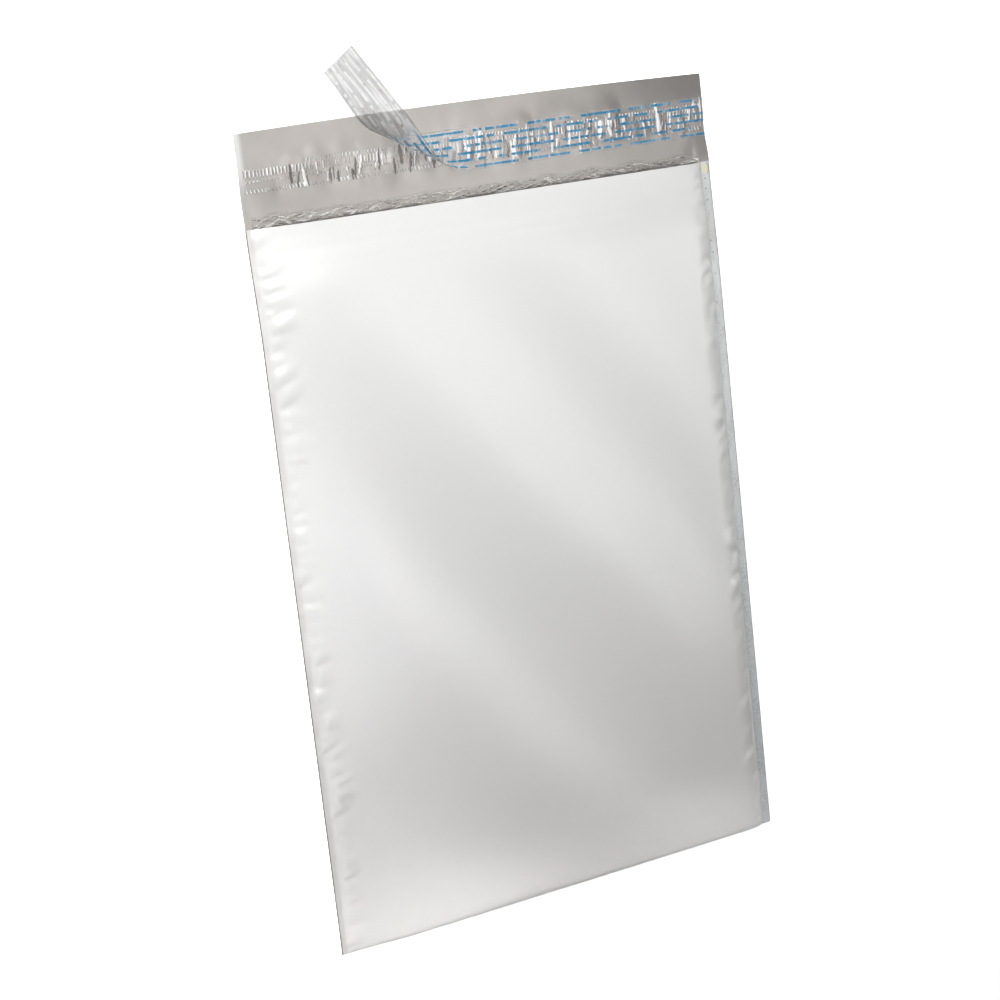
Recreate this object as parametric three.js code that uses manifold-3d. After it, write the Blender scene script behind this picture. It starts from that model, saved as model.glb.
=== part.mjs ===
// Padded poly mailer, empty, lying on its back with the flap open and the release film half peeled.
// Millimetres. X runs across the pouch, +Y from the bottom fold to the flap, +Z up from the table.
// The origin is the middle of the back panel.
import * as THREE from 'three';
import { mergeVertices } from 'three/addons/utils/BufferGeometryUtils.js';
import loadManifold from 'manifold-3d';

// Outer pouch: one film, folded at the bottom, welded up the sides and left long as the flap
const POUCH_WIDTH = 216; // over both side welds
const FRONT_LENGTH = 298; // bottom fold to the front lip
const FLAP_DEPTH = 37; // front lip to the flap's free edge at its corners
const FLAP_BOW = 1.2; // how much further the free edge reaches in its middle
const FILM = 0.4; // drawn thicker than the real 0.07 so that the film is a sound solid
const RIGHT_WELD = 5; // flat strip down the right side
const LEFT_WELD = 2.4; // the narrower strip down the left side
const WELD_HEIGHT = 3.6; // middle of the weld above the table
const WELD_DROP = 48; // length over which the weld comes down to the flap
const MOUTH_FLAT = 4; // length below the lip where the weld lies at the flap's level
const FOLD_WALL = 0.8; // film at the bottom fold
const FRONT_SHOULDER = 12; // distance in from a weld where the front is at its full height
const BACK_SHOULDER = 10; // the same for the back, down to the table
const FOLD_TAPER = 8; // distance up from the bottom fold to the full height
const CROWN = 0.5; // extra height along the middle of the front

// Gathers that the welds leave in both panels
const GATHER_PITCH = 7.5;
const GATHER_DEPTH = 0.8;
const GATHER_REACH = 15; // from the weld to where they fade out
const GATHER_VARIATION = 0.32; // how much weaker the weak ones are, as half a share
const GATHER_DRIFT = 1.7; // radians from one gather to the next, in that change of strength

// Bubble lining, folded inside the pouch
const LINING = 1.7; // thickness of one layer, squeezed
const LINING_CLEARANCE = 0.3; // between lining and film
const LINING_INSET = 5; // from the welds and from the bottom fold
const PRESSED_EDGE = 0.8; // thickness of the lining where it is pressed flat at the mouth
const MOUTH_TAPER = 28; // length over which the lining thins to its pressed edge
const MOUTH_DROP = 0.3; // how much lower the pocket's roof is at the mouth
const LIP_INSET = 1.5; // front lip to the front edge of the lining
const CRINKLE_DEPTH = 5.2; // how far the pressed back edge shows beyond the lip
const CRINKLE_OVERLAP = 8; // how far that edge runs back into the lining
const CRINKLE_HEIGHT = 0.4;
const CRINKLE_PITCH = 5;
const POCKET_HEIGHT = 4.6; // open space between the two layers
const POCKET_MARGIN = 9; // lining closed up round the pocket
const POCKET_EASE = 11; // distance over which the pocket opens to its full height
const POCKET_EDGE = 0.5; // height of the pocket at its closed edges

// Adhesive and release film across the flap
const STRIP_INSET = 18; // flap's free edge to the middle of both strips
const ADHESIVE_WIDTH = 8.8;
const ADHESIVE_THICKNESS = 0.4;
const ADHESIVE_END_MARGIN = 2; // bare flap at each end of the adhesive
const WRINKLE_HEIGHT = 0.4;
const WRINKLE_PITCH = 4;
const LINER_WIDTH = 17.3;
const LINER_THICKNESS = 0.3;
const LINER_CLEARANCE = 0.2; // over the wrinkles of the adhesive
const LINER_END_MARGIN = 0.5; // from the flap's right edge

// Release film where it is peeled: it leaves the flap along a slanted line and rolls back over itself
const LINER_LENGTH = 198.2; // from its right end to its cut end, measured flat
const PEEL_START = -11.4; // X where its middle leaves the flap
const PEEL_SLANT = 28.7; // degrees between that line and the strip
const ROLL_RADIUS = 9;
const ROLL_TURN = 192; // degrees, a little past flat
const ROLL_STEPS = 14;

// Share of the full height at the edge of a pad: steep at first, level at the end
const RISE_POWER = 2.2;
// Where along its reach a gather is deepest
const GATHER_PEAK = 1 / 3;
// Ripples of the pressed lining and of the adhesive differ in height, in the way that gathers do
const RIPPLE_VARIATION = 0.25;
const RIPPLE_DRIFT = 2.3;
// Sections crowd towards the bottom fold, where the taper is steepest
const TAPER_SECTIONS = 5;
const TAPER_CROWDING = 1.6;
// Straight stretches along the bowed free edge of the flap
const FLAP_SEGMENTS = 12;

// Places worked out from the sizes
const HALF_WIDTH = POUCH_WIDTH / 2;
const FOLD_Y = -FRONT_LENGTH / 2;
const LIP_Y = FRONT_LENGTH / 2;
const PAD_HEIGHT = 2 * (FILM + LINING_CLEARANCE + LINING) + POCKET_HEIGHT;
const STRIP_Y = LIP_Y + FLAP_DEPTH - STRIP_INSET;

const ramp = (distance, reach) => THREE.MathUtils.clamp(distance / reach, 0, 1);
const rise = (distance, reach) => 1 - (1 - ramp(distance, reach)) ** RISE_POWER;
const ease = (distance, reach) => THREE.MathUtils.smoothstep(distance, 0, reach);

// Inner edge of the weld on the side of x, and the same for the edge of the pocket
const weldEdge = (x) => HALF_WIDTH - (x > 0 ? RIGHT_WELD : LEFT_WELD);
const pocketEdge = (x) => weldEdge(x) - LINING_INSET - POCKET_MARGIN;

// Forms of the pad, as heights over a place on the table
const fromWeld = (x) => weldEdge(x) - Math.abs(x);
const weldMiddle = (y) => FILM + (WELD_HEIGHT - FILM) * ease(LIP_Y - MOUTH_FLAT - y, WELD_DROP);
const nearMouth = (y) => 1 - ease(LIP_Y - y, MOUTH_TAPER);
const pressed = (y) => (LINING - PRESSED_EDGE) * nearMouth(y);
const crown = (x) => CROWN * (1 - ramp(Math.abs(x), weldEdge(x)) ** 2);
const fullHeight = (x, y) => PAD_HEIGHT + crown(x) - pressed(y) - MOUTH_DROP * nearMouth(y);

// Depth of a gather at its strongest, for a distance from the weld
function gatherReach(x, y) {
  const share = ramp(fromWeld(x), GATHER_REACH);
  const peak = GATHER_PEAK * (1 - GATHER_PEAK) ** 2;
  return GATHER_DEPTH * (share * (1 - share) ** 2 / peak) * rise(y - FOLD_Y, FOLD_TAPER);
}

// The same with its ups and downs along the weld, stronger in some places than in others
function gather(x, y) {
  const along = (y - FOLD_Y) / GATHER_PITCH;
  const strength = 1 - GATHER_VARIATION * (1 - Math.sin(GATHER_DRIFT * along + Math.sign(x)));
  return gatherReach(x, y) * strength * Math.cos(2 * Math.PI * along);
}

function smoothFront(x, y) {
  const low = weldMiddle(y) + FILM;
  const fill = rise(fromWeld(x), FRONT_SHOULDER) * rise(y - FOLD_Y, FOLD_TAPER);
  return low + (fullHeight(x, y) - low) * fill;
}

function smoothBack(x, y) {
  const fill = rise(fromWeld(x), BACK_SHOULDER) * rise(y - FOLD_Y, FOLD_TAPER);
  return (weldMiddle(y) - FILM) * (1 - fill);
}

// Under the pouch a gather only lifts the film, because the table is below it
const backLift = (x, y) => Math.min(1, smoothBack(x, y) / GATHER_DEPTH);
const front = (x, y) => smoothFront(x, y) + gather(x, y);
const back = (x, y) => smoothBack(x, y) + backLift(x, y) * (gatherReach(x, y) + gather(x, y)) / 2;

const liningTop = (x, y) => smoothFront(x, y) - gatherReach(x, y) - FILM - LINING_CLEARANCE;
const liningFoot = (x, y) => smoothBack(x, y) + backLift(x, y) * gatherReach(x, y) + FILM + LINING_CLEARANCE;

const pocketFloor = (y) => FILM + LINING_CLEARANCE + LINING - pressed(y);
const pocketRoof = (x, y) => PAD_HEIGHT + crown(x) - FILM - LINING_CLEARANCE - LINING - MOUTH_DROP * nearMouth(y);

function pocketHeight(x, y, side) {
  const middle = (pocketFloor(y) + pocketRoof(x, y)) / 2;
  const foldEnd = FOLD_Y + LINING_INSET + POCKET_MARGIN;
  const open = rise(pocketEdge(x) - Math.abs(x), POCKET_EASE) * rise(y - foldEnd, POCKET_EASE);
  const half = (pocketRoof(x, y) - pocketFloor(y) - POCKET_EDGE) / 2;
  return middle + side * (POCKET_EDGE / 2 + half * open);
}

// Evenly spaced values from one end to the other, with both ends
function spaced(from, to, steps) {
  return Array.from({ length: steps + 1 }, (_, step) => THREE.MathUtils.lerp(from, to, step / steps));
}

// Places across the pad from right to left, at the same insets from an edge on both sides
function across(insets, edge = weldEdge) {
  const right = insets.map((inset) => edge(1) - inset);
  const left = insets.map((inset) => inset - edge(-1));
  return [...right, 0, ...left.reverse()];
}

// Closed ring round one cross-section: the upper line from right to left, then the lower one back
function ring(y, upperPlaces, lowerPlaces, upper, lower) {
  const top = upperPlaces.map((x) => new THREE.Vector3(x, y, upper(x, y)));
  const bottom = lowerPlaces.map((x) => new THREE.Vector3(x, y, lower(x, y)));
  return [...top, ...bottom.reverse()];
}

// Faces that close a ring: for a section across the pad, and for a strap of four corners
function sectionFaces(points) {
  const outline = points.map((point) => new THREE.Vector2(point.x, point.z));
  return THREE.ShapeUtils.triangulateShape(outline, []);
}
const strapFaces = () => [[0, 1, 2], [0, 2, 3]];

// Solid skinned over rings of equal length, with a flat cap at each end
function loft(rings, capFaces = sectionFaces) {
  const size = rings[0].length;
  const faces = [];
  for (let first = 0; first < (rings.length - 1) * size; first += size) {
    for (let step = 0; step < size; step++) {
      const a = first + step;
      const b = first + (step + 1) % size;
      faces.push(a, a + size, b, b, a + size, b + size);
    }
  }
  const last = (rings.length - 1) * size;
  for (const [a, b, c] of capFaces(rings[0])) faces.push(a, b, c);
  for (const [a, b, c] of capFaces(rings.at(-1))) faces.push(last + a, last + c, last + b);
  const geometry = new THREE.BufferGeometry().setFromPoints(rings.flat());
  geometry.setIndex(faces);
  return geometry;
}

const wasm = await loadManifold();
wasm.setup();

function toSolid(geometry) {
  const bare = geometry.clone();
  bare.deleteAttribute('normal');
  bare.deleteAttribute('uv');
  const merged = mergeVertices(bare);
  const vertProperties = new Float32Array(merged.attributes.position.array);
  const triVerts = new Uint32Array(merged.index.array);
  return new wasm.Manifold(new wasm.Mesh({ numProp: 3, vertProperties, triVerts }));
}

function toGeometry(solid) {
  const mesh = solid.getMesh();
  const geometry = new THREE.BufferGeometry();
  geometry.setAttribute('position', new THREE.BufferAttribute(mesh.vertProperties, 3));
  geometry.setIndex(new THREE.BufferAttribute(mesh.triVerts, 1));
  return geometry;
}

// Band across the flap: flat below, rippled along X above. It ends at endY and runs back by depth.
function rippledBand({ left, right, endY, depth, base, thickness, ripple, pitch }) {
  const steps = 2 * Math.round((right - left) / pitch);
  const crest = (step) => {
    const strength = 1 - RIPPLE_VARIATION * (1 - Math.sin(RIPPLE_DRIFT * step));
    return base + thickness + (step % 2) * ripple * strength;
  };
  const top = spaced(right, left, steps).map((x, step) => new THREE.Vector2(x, crest(step)));
  const outline = new THREE.Shape([new THREE.Vector2(left, base), new THREE.Vector2(right, base), ...top]);
  const geometry = new THREE.ExtrudeGeometry(outline, { depth, bevelEnabled: false });
  return geometry.rotateX(Math.PI / 2).translate(0, endY, 0);
}

// Stations along the pouch: close together up the bottom taper, then two to each gather
function pouchStations() {
  const taperTop = FOLD_Y + FOLD_TAPER;
  const flatStart = LIP_Y - MOUTH_FLAT;
  const steps = 2 * Math.round((flatStart - taperTop) / GATHER_PITCH);
  const shares = spaced(0, 1, TAPER_SECTIONS).slice(0, -1);
  const taper = shares.map((share) => FOLD_Y + FOLD_TAPER * share ** TAPER_CROWDING);
  return [...taper, ...spaced(taperTop, flatStart, steps), LIP_Y];
}

// Insets from a weld across the shoulder of a panel, from the lining's edge to where the gathers end
const shoulderInsets = () => spaced(LINING_INSET, GATHER_REACH, 3);

function outerPouch() {
  const stations = pouchStations();
  const upperPlaces = across([0, LINING_INSET / 2, ...shoulderInsets()]);
  const lowerPlaces = upperPlaces.slice(1, -1);
  const outerPlaces = [HALF_WIDTH, ...upperPlaces, -HALF_WIDTH];
  const outside = loft(stations.map((y) => ring(y, outerPlaces, outerPlaces, front, back)));

  const innerFront = (x, y) => front(x, y) - FILM;
  const innerBack = (x, y) => back(x, y) + FILM;
  const section = (y, at) => ring(y, upperPlaces, lowerPlaces, (x) => innerFront(x, at), (x) => innerBack(x, at));
  const insideStations = stations.filter((y) => y > FOLD_Y + FOLD_WALL);
  const beyondLip = LIP_Y + FILM;
  const inside = loft([
    section(FOLD_Y + FOLD_WALL, FOLD_Y + FOLD_WALL),
    ...insideStations.map((y) => section(y, y)),
    section(beyondLip, LIP_Y),
  ]);

  return toGeometry(toSolid(outside).subtract(toSolid(inside)).add(toSolid(flapSheet())));
}

// Flap, from inside the mouth to its free edge, which bows outwards
function flapSheet() {
  const root = LIP_Y - MOUTH_FLAT / 2;
  const corner = LIP_Y + FLAP_DEPTH;
  const outline = new THREE.Shape()
    .moveTo(-HALF_WIDTH, root)
    .lineTo(HALF_WIDTH, root)
    .lineTo(HALF_WIDTH, corner)
    .quadraticCurveTo(0, corner + 2 * FLAP_BOW, -HALF_WIDTH, corner);
  return new THREE.ExtrudeGeometry(outline, { depth: FILM, bevelEnabled: false, curveSegments: FLAP_SEGMENTS });
}

function bubbleLining() {
  const foldEnd = FOLD_Y + LINING_INSET;
  const lipEnd = LIP_Y - LIP_INSET;
  const taperTop = FOLD_Y + FOLD_TAPER;
  const mouthStart = LIP_Y - WELD_DROP - MOUTH_FLAT;
  const stations = [
    ...spaced(foldEnd, taperTop, 4),
    ...spaced(taperTop, mouthStart, 6).slice(1),
    ...spaced(mouthStart, lipEnd, 8).slice(1),
  ];
  const places = across(shoulderInsets());
  const sheet = loft(stations.map((y) => ring(y, places, places, liningTop, liningFoot)));

  const pocketPlaces = across(spaced(0, POCKET_EASE, 3), pocketEdge);
  const roof = (x, y) => pocketHeight(x, y, 1);
  const floor = (x, y) => pocketHeight(x, y, -1);
  const pocketStart = foldEnd + POCKET_MARGIN;
  const pocketStations = [
    ...spaced(pocketStart, pocketStart + POCKET_EASE, 3),
    ...spaced(LIP_Y - MOUTH_TAPER, LIP_Y, 5),
  ];
  const pocket = loft(pocketStations.map((y) => ring(y, pocketPlaces, pocketPlaces, roof, floor)));

  const crinkledEdge = rippledBand({
    left: -pocketEdge(-1),
    right: pocketEdge(1),
    endY: LIP_Y + CRINKLE_DEPTH,
    depth: CRINKLE_DEPTH + CRINKLE_OVERLAP,
    base: FILM + LINING_CLEARANCE,
    thickness: PRESSED_EDGE - CRINKLE_HEIGHT,
    ripple: CRINKLE_HEIGHT,
    pitch: CRINKLE_PITCH,
  });
  return toGeometry(toSolid(sheet).subtract(toSolid(pocket)).add(toSolid(crinkledEdge)));
}

function adhesiveStrip() {
  return rippledBand({
    left: ADHESIVE_END_MARGIN - HALF_WIDTH,
    right: HALF_WIDTH - ADHESIVE_END_MARGIN,
    endY: STRIP_Y + ADHESIVE_WIDTH / 2,
    depth: ADHESIVE_WIDTH,
    base: FILM,
    thickness: ADHESIVE_THICKNESS,
    ripple: WRINKLE_HEIGHT,
    pitch: WRINKLE_PITCH,
  });
}

// Release film: flat along the adhesive from its right end, then rolled back over itself.
// Its rings lie along the slanted peel line, so each stretch between two rings is flat across the strip.
function releaseLiner() {
  const level = FILM + ADHESIVE_THICKNESS + WRINKLE_HEIGHT + LINER_CLEARANCE + LINER_THICKNESS / 2;
  const slant = THREE.MathUtils.degToRad(PEEL_SLANT);
  const turn = THREE.MathUtils.degToRad(ROLL_TURN);
  const start = new THREE.Vector3(PEEL_START, STRIP_Y, level);
  const peelLine = new THREE.Vector3(Math.cos(slant), -Math.sin(slant), 0);
  const outward = new THREE.Vector3(-Math.sin(slant), -Math.cos(slant), 0);

  // Where a point of the flat strip lies once it is rolled, and which way its upper face looks
  const rolled = (x, side) => {
    const flat = new THREE.Vector3(x - PEEL_START, side * LINER_WIDTH / 2, 0);
    const reach = flat.dot(outward);
    const angle = THREE.MathUtils.clamp(reach / ROLL_RADIUS, 0, turn);
    const straight = reach - angle * ROLL_RADIUS;
    const place = start.clone()
      .addScaledVector(peelLine, flat.dot(peelLine))
      .addScaledVector(outward, ROLL_RADIUS * Math.sin(angle) + straight * Math.cos(angle));
    place.z += ROLL_RADIUS * (1 - Math.cos(angle)) + straight * Math.sin(angle);
    const normal = outward.clone().multiplyScalar(-Math.sin(angle));
    normal.z = Math.cos(angle);
    return { place, normal };
  };

  // X on each edge of the flat strip for a distance into the roll
  const edgeX = (reach, side) => PEEL_START - (reach + side * LINER_WIDTH / 2 * Math.cos(slant)) / Math.sin(slant);
  const rightEnd = HALF_WIDTH - LINER_END_MARGIN;
  const rolledEdges = spaced(0, turn * ROLL_RADIUS, ROLL_STEPS).map((reach) => [edgeX(reach, 1), edgeX(reach, -1)]);
  const cutEnd = rightEnd - LINER_LENGTH;
  const edges = [[rightEnd, rightEnd], ...rolledEdges, [cutEnd, cutEnd]];
  const rings = edges.map(([upperX, lowerX]) => {
    const upper = rolled(upperX, 1);
    const lower = rolled(lowerX, -1);
    const corner = ({ place, normal }, face) => place.clone().addScaledVector(normal, face * LINER_THICKNESS / 2);
    return [corner(upper, 1), corner(lower, 1), corner(lower, -1), corner(upper, -1)];
  });
  return loft(rings, strapFaces);
}

function finish(color, roughness) {
  return new THREE.MeshStandardMaterial({ color, roughness, metalness: 0, side: THREE.FrontSide });
}

function piece(name, geometry, material) {
  geometry.computeVertexNormals();
  const mesh = new THREE.Mesh(geometry, material);
  mesh.name = name;
  return mesh;
}

const mailer = new THREE.Group();
mailer.add(
  piece('outer_pouch', outerPouch(), finish(0xeeeeec, 0.45)),
  piece('bubble_lining', bubbleLining(), finish(0xd9d7d3, 0.35)),
  piece('adhesive_strip', adhesiveStrip(), finish(0xb8b2ab, 0.25)),
  piece('release_liner', releaseLiner(), finish(0xa9c9da, 0.15)),
);

export default mailer;
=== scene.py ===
"""Padded poly mailer, empty, on its back with the flap open and the release film half peeled.

Metres, in the part's frame: X across the pouch, +Y from the bottom fold to the flap, +Z up.
"""
import logging
import math
import random
from collections.abc import Callable
from dataclasses import dataclass, field
from enum import Enum

import bmesh
import bpy
from bmesh.types import BMesh, BMVert
from mathutils import Matrix, Quaternion, Vector, noise


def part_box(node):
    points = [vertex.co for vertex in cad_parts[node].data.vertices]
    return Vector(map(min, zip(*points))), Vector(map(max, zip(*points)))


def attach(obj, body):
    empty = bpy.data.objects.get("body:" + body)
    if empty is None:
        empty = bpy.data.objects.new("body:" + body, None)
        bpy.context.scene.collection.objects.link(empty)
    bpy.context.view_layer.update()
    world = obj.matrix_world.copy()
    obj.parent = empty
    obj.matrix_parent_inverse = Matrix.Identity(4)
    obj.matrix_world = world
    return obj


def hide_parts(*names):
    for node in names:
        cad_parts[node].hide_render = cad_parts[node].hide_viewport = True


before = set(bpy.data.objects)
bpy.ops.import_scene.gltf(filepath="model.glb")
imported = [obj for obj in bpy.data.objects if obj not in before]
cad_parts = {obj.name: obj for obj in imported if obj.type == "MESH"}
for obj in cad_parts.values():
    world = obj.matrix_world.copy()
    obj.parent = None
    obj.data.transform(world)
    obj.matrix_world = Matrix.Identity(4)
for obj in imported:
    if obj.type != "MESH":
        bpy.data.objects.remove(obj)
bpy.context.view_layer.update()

LOG = logging.getLogger("mailer")
MM = 0.001
BODY = "root"
MERGE_DISTANCE = 1e-7
SHARP_ANGLE = math.radians(50)
RIDGE_SHARPNESS = 2.2

Height = Callable[[float, float], float]
Span = tuple[float, float]


class Side(Enum):
    """The two long sides of the pouch."""

    LEFT = -1
    RIGHT = 1


class Slot(Enum):
    """Material slots of the record."""

    FILM = "film"
    LINING = "lining"
    ADHESIVE = "adhesive"
    RELEASE_FILM = "release_film"


class Mark(Enum):
    """Attributes that tell a finish which part of a piece it is on."""

    INNER = "inner"
    FRONT = "front"
    PRESSED = "pressed"
    CREST = "crest"


class Layer(float, Enum):
    """Layers of the noise, one for each use of it."""

    FIRST_CREASE = 1.1
    SECOND_CREASE = 2.1
    BULGE = 3.0
    CREASE_STRENGTH = 3.3
    WAVE_BEND = 4.2
    BRAID_UP = 5.5
    BAND_EDGE = 6.1
    WAVE_NOISE = 7.7
    BRAID_DOWN = 8.8
    FLAP_WAVE = 9.4
    FLAP_DENT = 13.3


def ramp(distance: float, reach: float) -> float:
    """Share of the reach that a distance covers, from 0 to 1."""
    return min(max(distance / reach, 0.0), 1.0)


def rise(distance: float, reach: float, power: float = 2.2) -> float:
    """Share of the full height at the edge of a pad: steep at first, level at the end."""
    return 1 - (1 - ramp(distance, reach)) ** power


def ease(distance: float, reach: float) -> float:
    """Smooth step from 0 to 1 over the reach."""
    share = ramp(distance, reach)
    return share * share * (3 - 2 * share)


def bell(offset: float) -> float:
    """Bell curve of height 1 and unit width."""
    return math.exp(-offset * offset)


def ruffle(x: float, y: float, pitch_x: float, pitch_y: float, seed: float) -> float:
    """Smooth noise from about -1 to 1, with its own scale along each direction.

    Args:
        x: Place across.
        y: Place along.
        pitch_x: Size of a feature across.
        pitch_y: Size of a feature along.
        seed: Layer of the noise.

    Returns:
        The value of the noise there.
    """
    return noise.noise(Vector((x / pitch_x, y / pitch_y, seed)))


def ridge(x: float, y: float, pitch_x: float, pitch_y: float, seed: float) -> float:
    """Thin crests, 1 along their line and falling off to 0, as crushed film has.

    Args:
        x: Place across.
        y: Place along.
        pitch_x: Distance between crests across.
        pitch_y: Distance between crests along.
        seed: Layer of the noise.

    Returns:
        Height of the crests from 0 to 1.
    """
    return max(0.0, 1 - RIDGE_SHARPNESS * abs(ruffle(x, y, pitch_x, pitch_y, seed))) ** 2


@dataclass(frozen=True)
class Spacing:
    """Places along one direction of a grid: stretches between stops, each with its own steps."""

    stops: tuple[float, ...]
    steps: tuple[int, ...]

    @property
    def total(self) -> int:
        """Number of steps in all."""
        return sum(self.steps)

    def place(self, share: float) -> float:
        """Place at a share of all the steps.

        Args:
            share: From 0 at the first stop to 1 at the last.

        Returns:
            The place along the direction.
        """
        left = share * self.total
        for start, end, count in zip(self.stops, self.stops[1:], self.steps):
            if left <= count:
                return start + (end - start) * left / count
            left -= count
        return self.stops[-1]


def lay_grid(
    bm: BMesh,
    across: Spacing,
    along: Spacing,
    place: Callable[[float, float], Vector],
    marks: dict[Mark, Height] | None = None,
) -> list[BMVert]:
    """Adds a grid, moves each of its points to its place and marks it.

    Args:
        bm: Mesh to add to, with room for the marks.
        across: Columns of the grid.
        along: Rows of the grid.
        place: Place in space of a column and a row.
        marks: Strength of each mark at a column and a row.

    Returns:
        The new points.
    """
    layers = {bm.verts.layers.float[mark.value]: share for mark, share in (marks or {}).items()}
    steps = {"x_segments": across.total, "y_segments": along.total}
    made = bmesh.ops.create_grid(bm, **steps, size=0.5, calc_uvs=True)["verts"]
    for vert in made:
        column, row = across.place(vert.co.x + 0.5), along.place(vert.co.y + 0.5)
        vert.co = place(column, row)
        for layer, share in layers.items():
            vert[layer] = share(column, row)
    return made


def faces_of(verts: list[BMVert]) -> list[bmesh.types.BMFace]:
    """Faces that touch some points, each once."""
    return list({face for vert in verts for face in vert.link_faces})


def lay_bag(
    bm: BMesh,
    across: Spacing,
    along: Spacing,
    front: Height,
    back: Height,
    marks: dict[Mark, Height] | None = None,
) -> list[BMVert]:
    """Adds a front and a back sheet that meet along both sides and along the first row.

    Args:
        bm: Mesh to add to.
        across: Columns of both sheets.
        along: Rows of both sheets.
        front: Height of the front sheet over the table.
        back: Height of the back sheet, equal to the front's along the edges that meet.
        marks: Marks of the front sheet.

    Returns:
        The points of the back sheet.
    """
    upper = lay_grid(bm, across, along, lambda x, y: Vector((x, y, front(x, y))), marks)
    lower = lay_grid(bm, across, along, lambda x, y: Vector((x, y, back(x, y))))
    bmesh.ops.reverse_faces(bm, faces=faces_of(lower))
    bmesh.ops.remove_doubles(bm, verts=upper + lower, dist=MERGE_DISTANCE)
    return [vert for vert in lower if vert.is_valid]


def row_edges(verts: list[BMVert], y: float) -> list[bmesh.types.BMEdge]:
    """Edges between points that lie at one place along the pouch.

    Args:
        verts: Points to look at.
        y: Place along the pouch.

    Returns:
        Those edges, each once.
    """
    row = {vert for vert in verts if vert.is_valid and abs(vert.co.y - y) < MERGE_DISTANCE}
    return list({edge for vert in row for edge in vert.link_edges if edge.other_vert(vert) in row})


def new_mesh(*marks: Mark) -> BMesh:
    """Starts a mesh with room for marks on its points.

    Args:
        marks: Marks that will be stored.

    Returns:
        The empty mesh.
    """
    bm = bmesh.new()
    for mark in marks:
        bm.verts.layers.float.new(mark.value)
    return bm


def to_piece(bm: BMesh, name: str) -> bpy.types.Object:
    """Turns a mesh under work into a piece of the scene.

    Args:
        bm: Mesh under work, which is freed.
        name: Name of the piece.

    Returns:
        The new object, at the origin.
    """
    mesh = bpy.data.meshes.new(name)
    bm.to_mesh(mesh)
    bm.free()
    mesh.shade_smooth()
    piece = bpy.data.objects.new(name, mesh)
    bpy.context.scene.collection.objects.link(piece)
    return piece


def bake(piece: bpy.types.Object) -> None:
    """Applies a piece's modifiers to its mesh.

    Args:
        piece: Piece whose mesh is replaced.
    """
    graph = bpy.context.evaluated_depsgraph_get()
    mesh = bpy.data.meshes.new_from_object(piece.evaluated_get(graph))
    piece.modifiers.clear()
    plain = piece.data
    piece.data = mesh
    bpy.data.meshes.remove(plain)
    mesh.name = piece.name


def repeat(piece: bpy.types.Object, step: Vector, count: int) -> None:
    """Repeats a piece in a row.

    Args:
        piece: Piece to repeat, which gains a modifier.
        step: From one copy to the next.
        count: Number of copies, with the first.
    """
    modifier = piece.modifiers.new("row", "ARRAY")
    modifier.use_relative_offset = False
    modifier.use_constant_offset = True
    modifier.constant_offset_displace = step
    modifier.count = count


def join(piece: bpy.types.Object, *others: bpy.types.Object) -> None:
    """Moves the meshes of other pieces into a piece.

    Args:
        piece: Piece that gains them.
        others: Pieces that are then removed.
    """
    bm = bmesh.new()
    for part in (piece, *others):
        bm.from_mesh(part.data)
    bm.to_mesh(piece.data)
    bm.free()
    for part in others:
        mesh = part.data
        bpy.data.objects.remove(part)
        bpy.data.meshes.remove(mesh)


def thicken(piece: bpy.types.Object, thickness: float) -> None:
    """Gives a sheet its thickness, away from its outward face, and marks the new inner face.

    Args:
        piece: Sheet to thicken, whose mesh is replaced.
        thickness: Thickness of the film.
    """
    outer_count = len(piece.data.vertices)
    modifier = piece.modifiers.new("thickness", "SOLIDIFY")
    modifier.thickness = thickness
    modifier.offset = -1
    bake(piece)
    mesh = piece.data
    inner = mesh.attributes.new(Mark.INNER.value, "FLOAT", "POINT")
    inner.data.foreach_set("value", [float(index >= outer_count) for index in range(len(mesh.vertices))])
    mesh.set_sharp_from_angle(angle=SHARP_ANGLE)


def dress(
    piece: bpy.types.Object,
    material: bpy.types.Material,
    slot: Slot,
    *nodes: str,
) -> bpy.types.Object:
    """Gives a piece its material and its place among the part's nodes.

    Args:
        piece: Piece to dress.
        material: Its finish.
        slot: The record's material slot; not used.
        nodes: Nodes that the piece stands for.

    Returns:
        The same piece.
    """
    piece.data.materials.clear()
    piece.data.materials.append(material)
    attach(piece, BODY)
    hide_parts(*nodes)
    LOG.info("%s: %d faces, stands for %s", piece.name, len(piece.data.polygons), ", ".join(nodes))
    return piece


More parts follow.
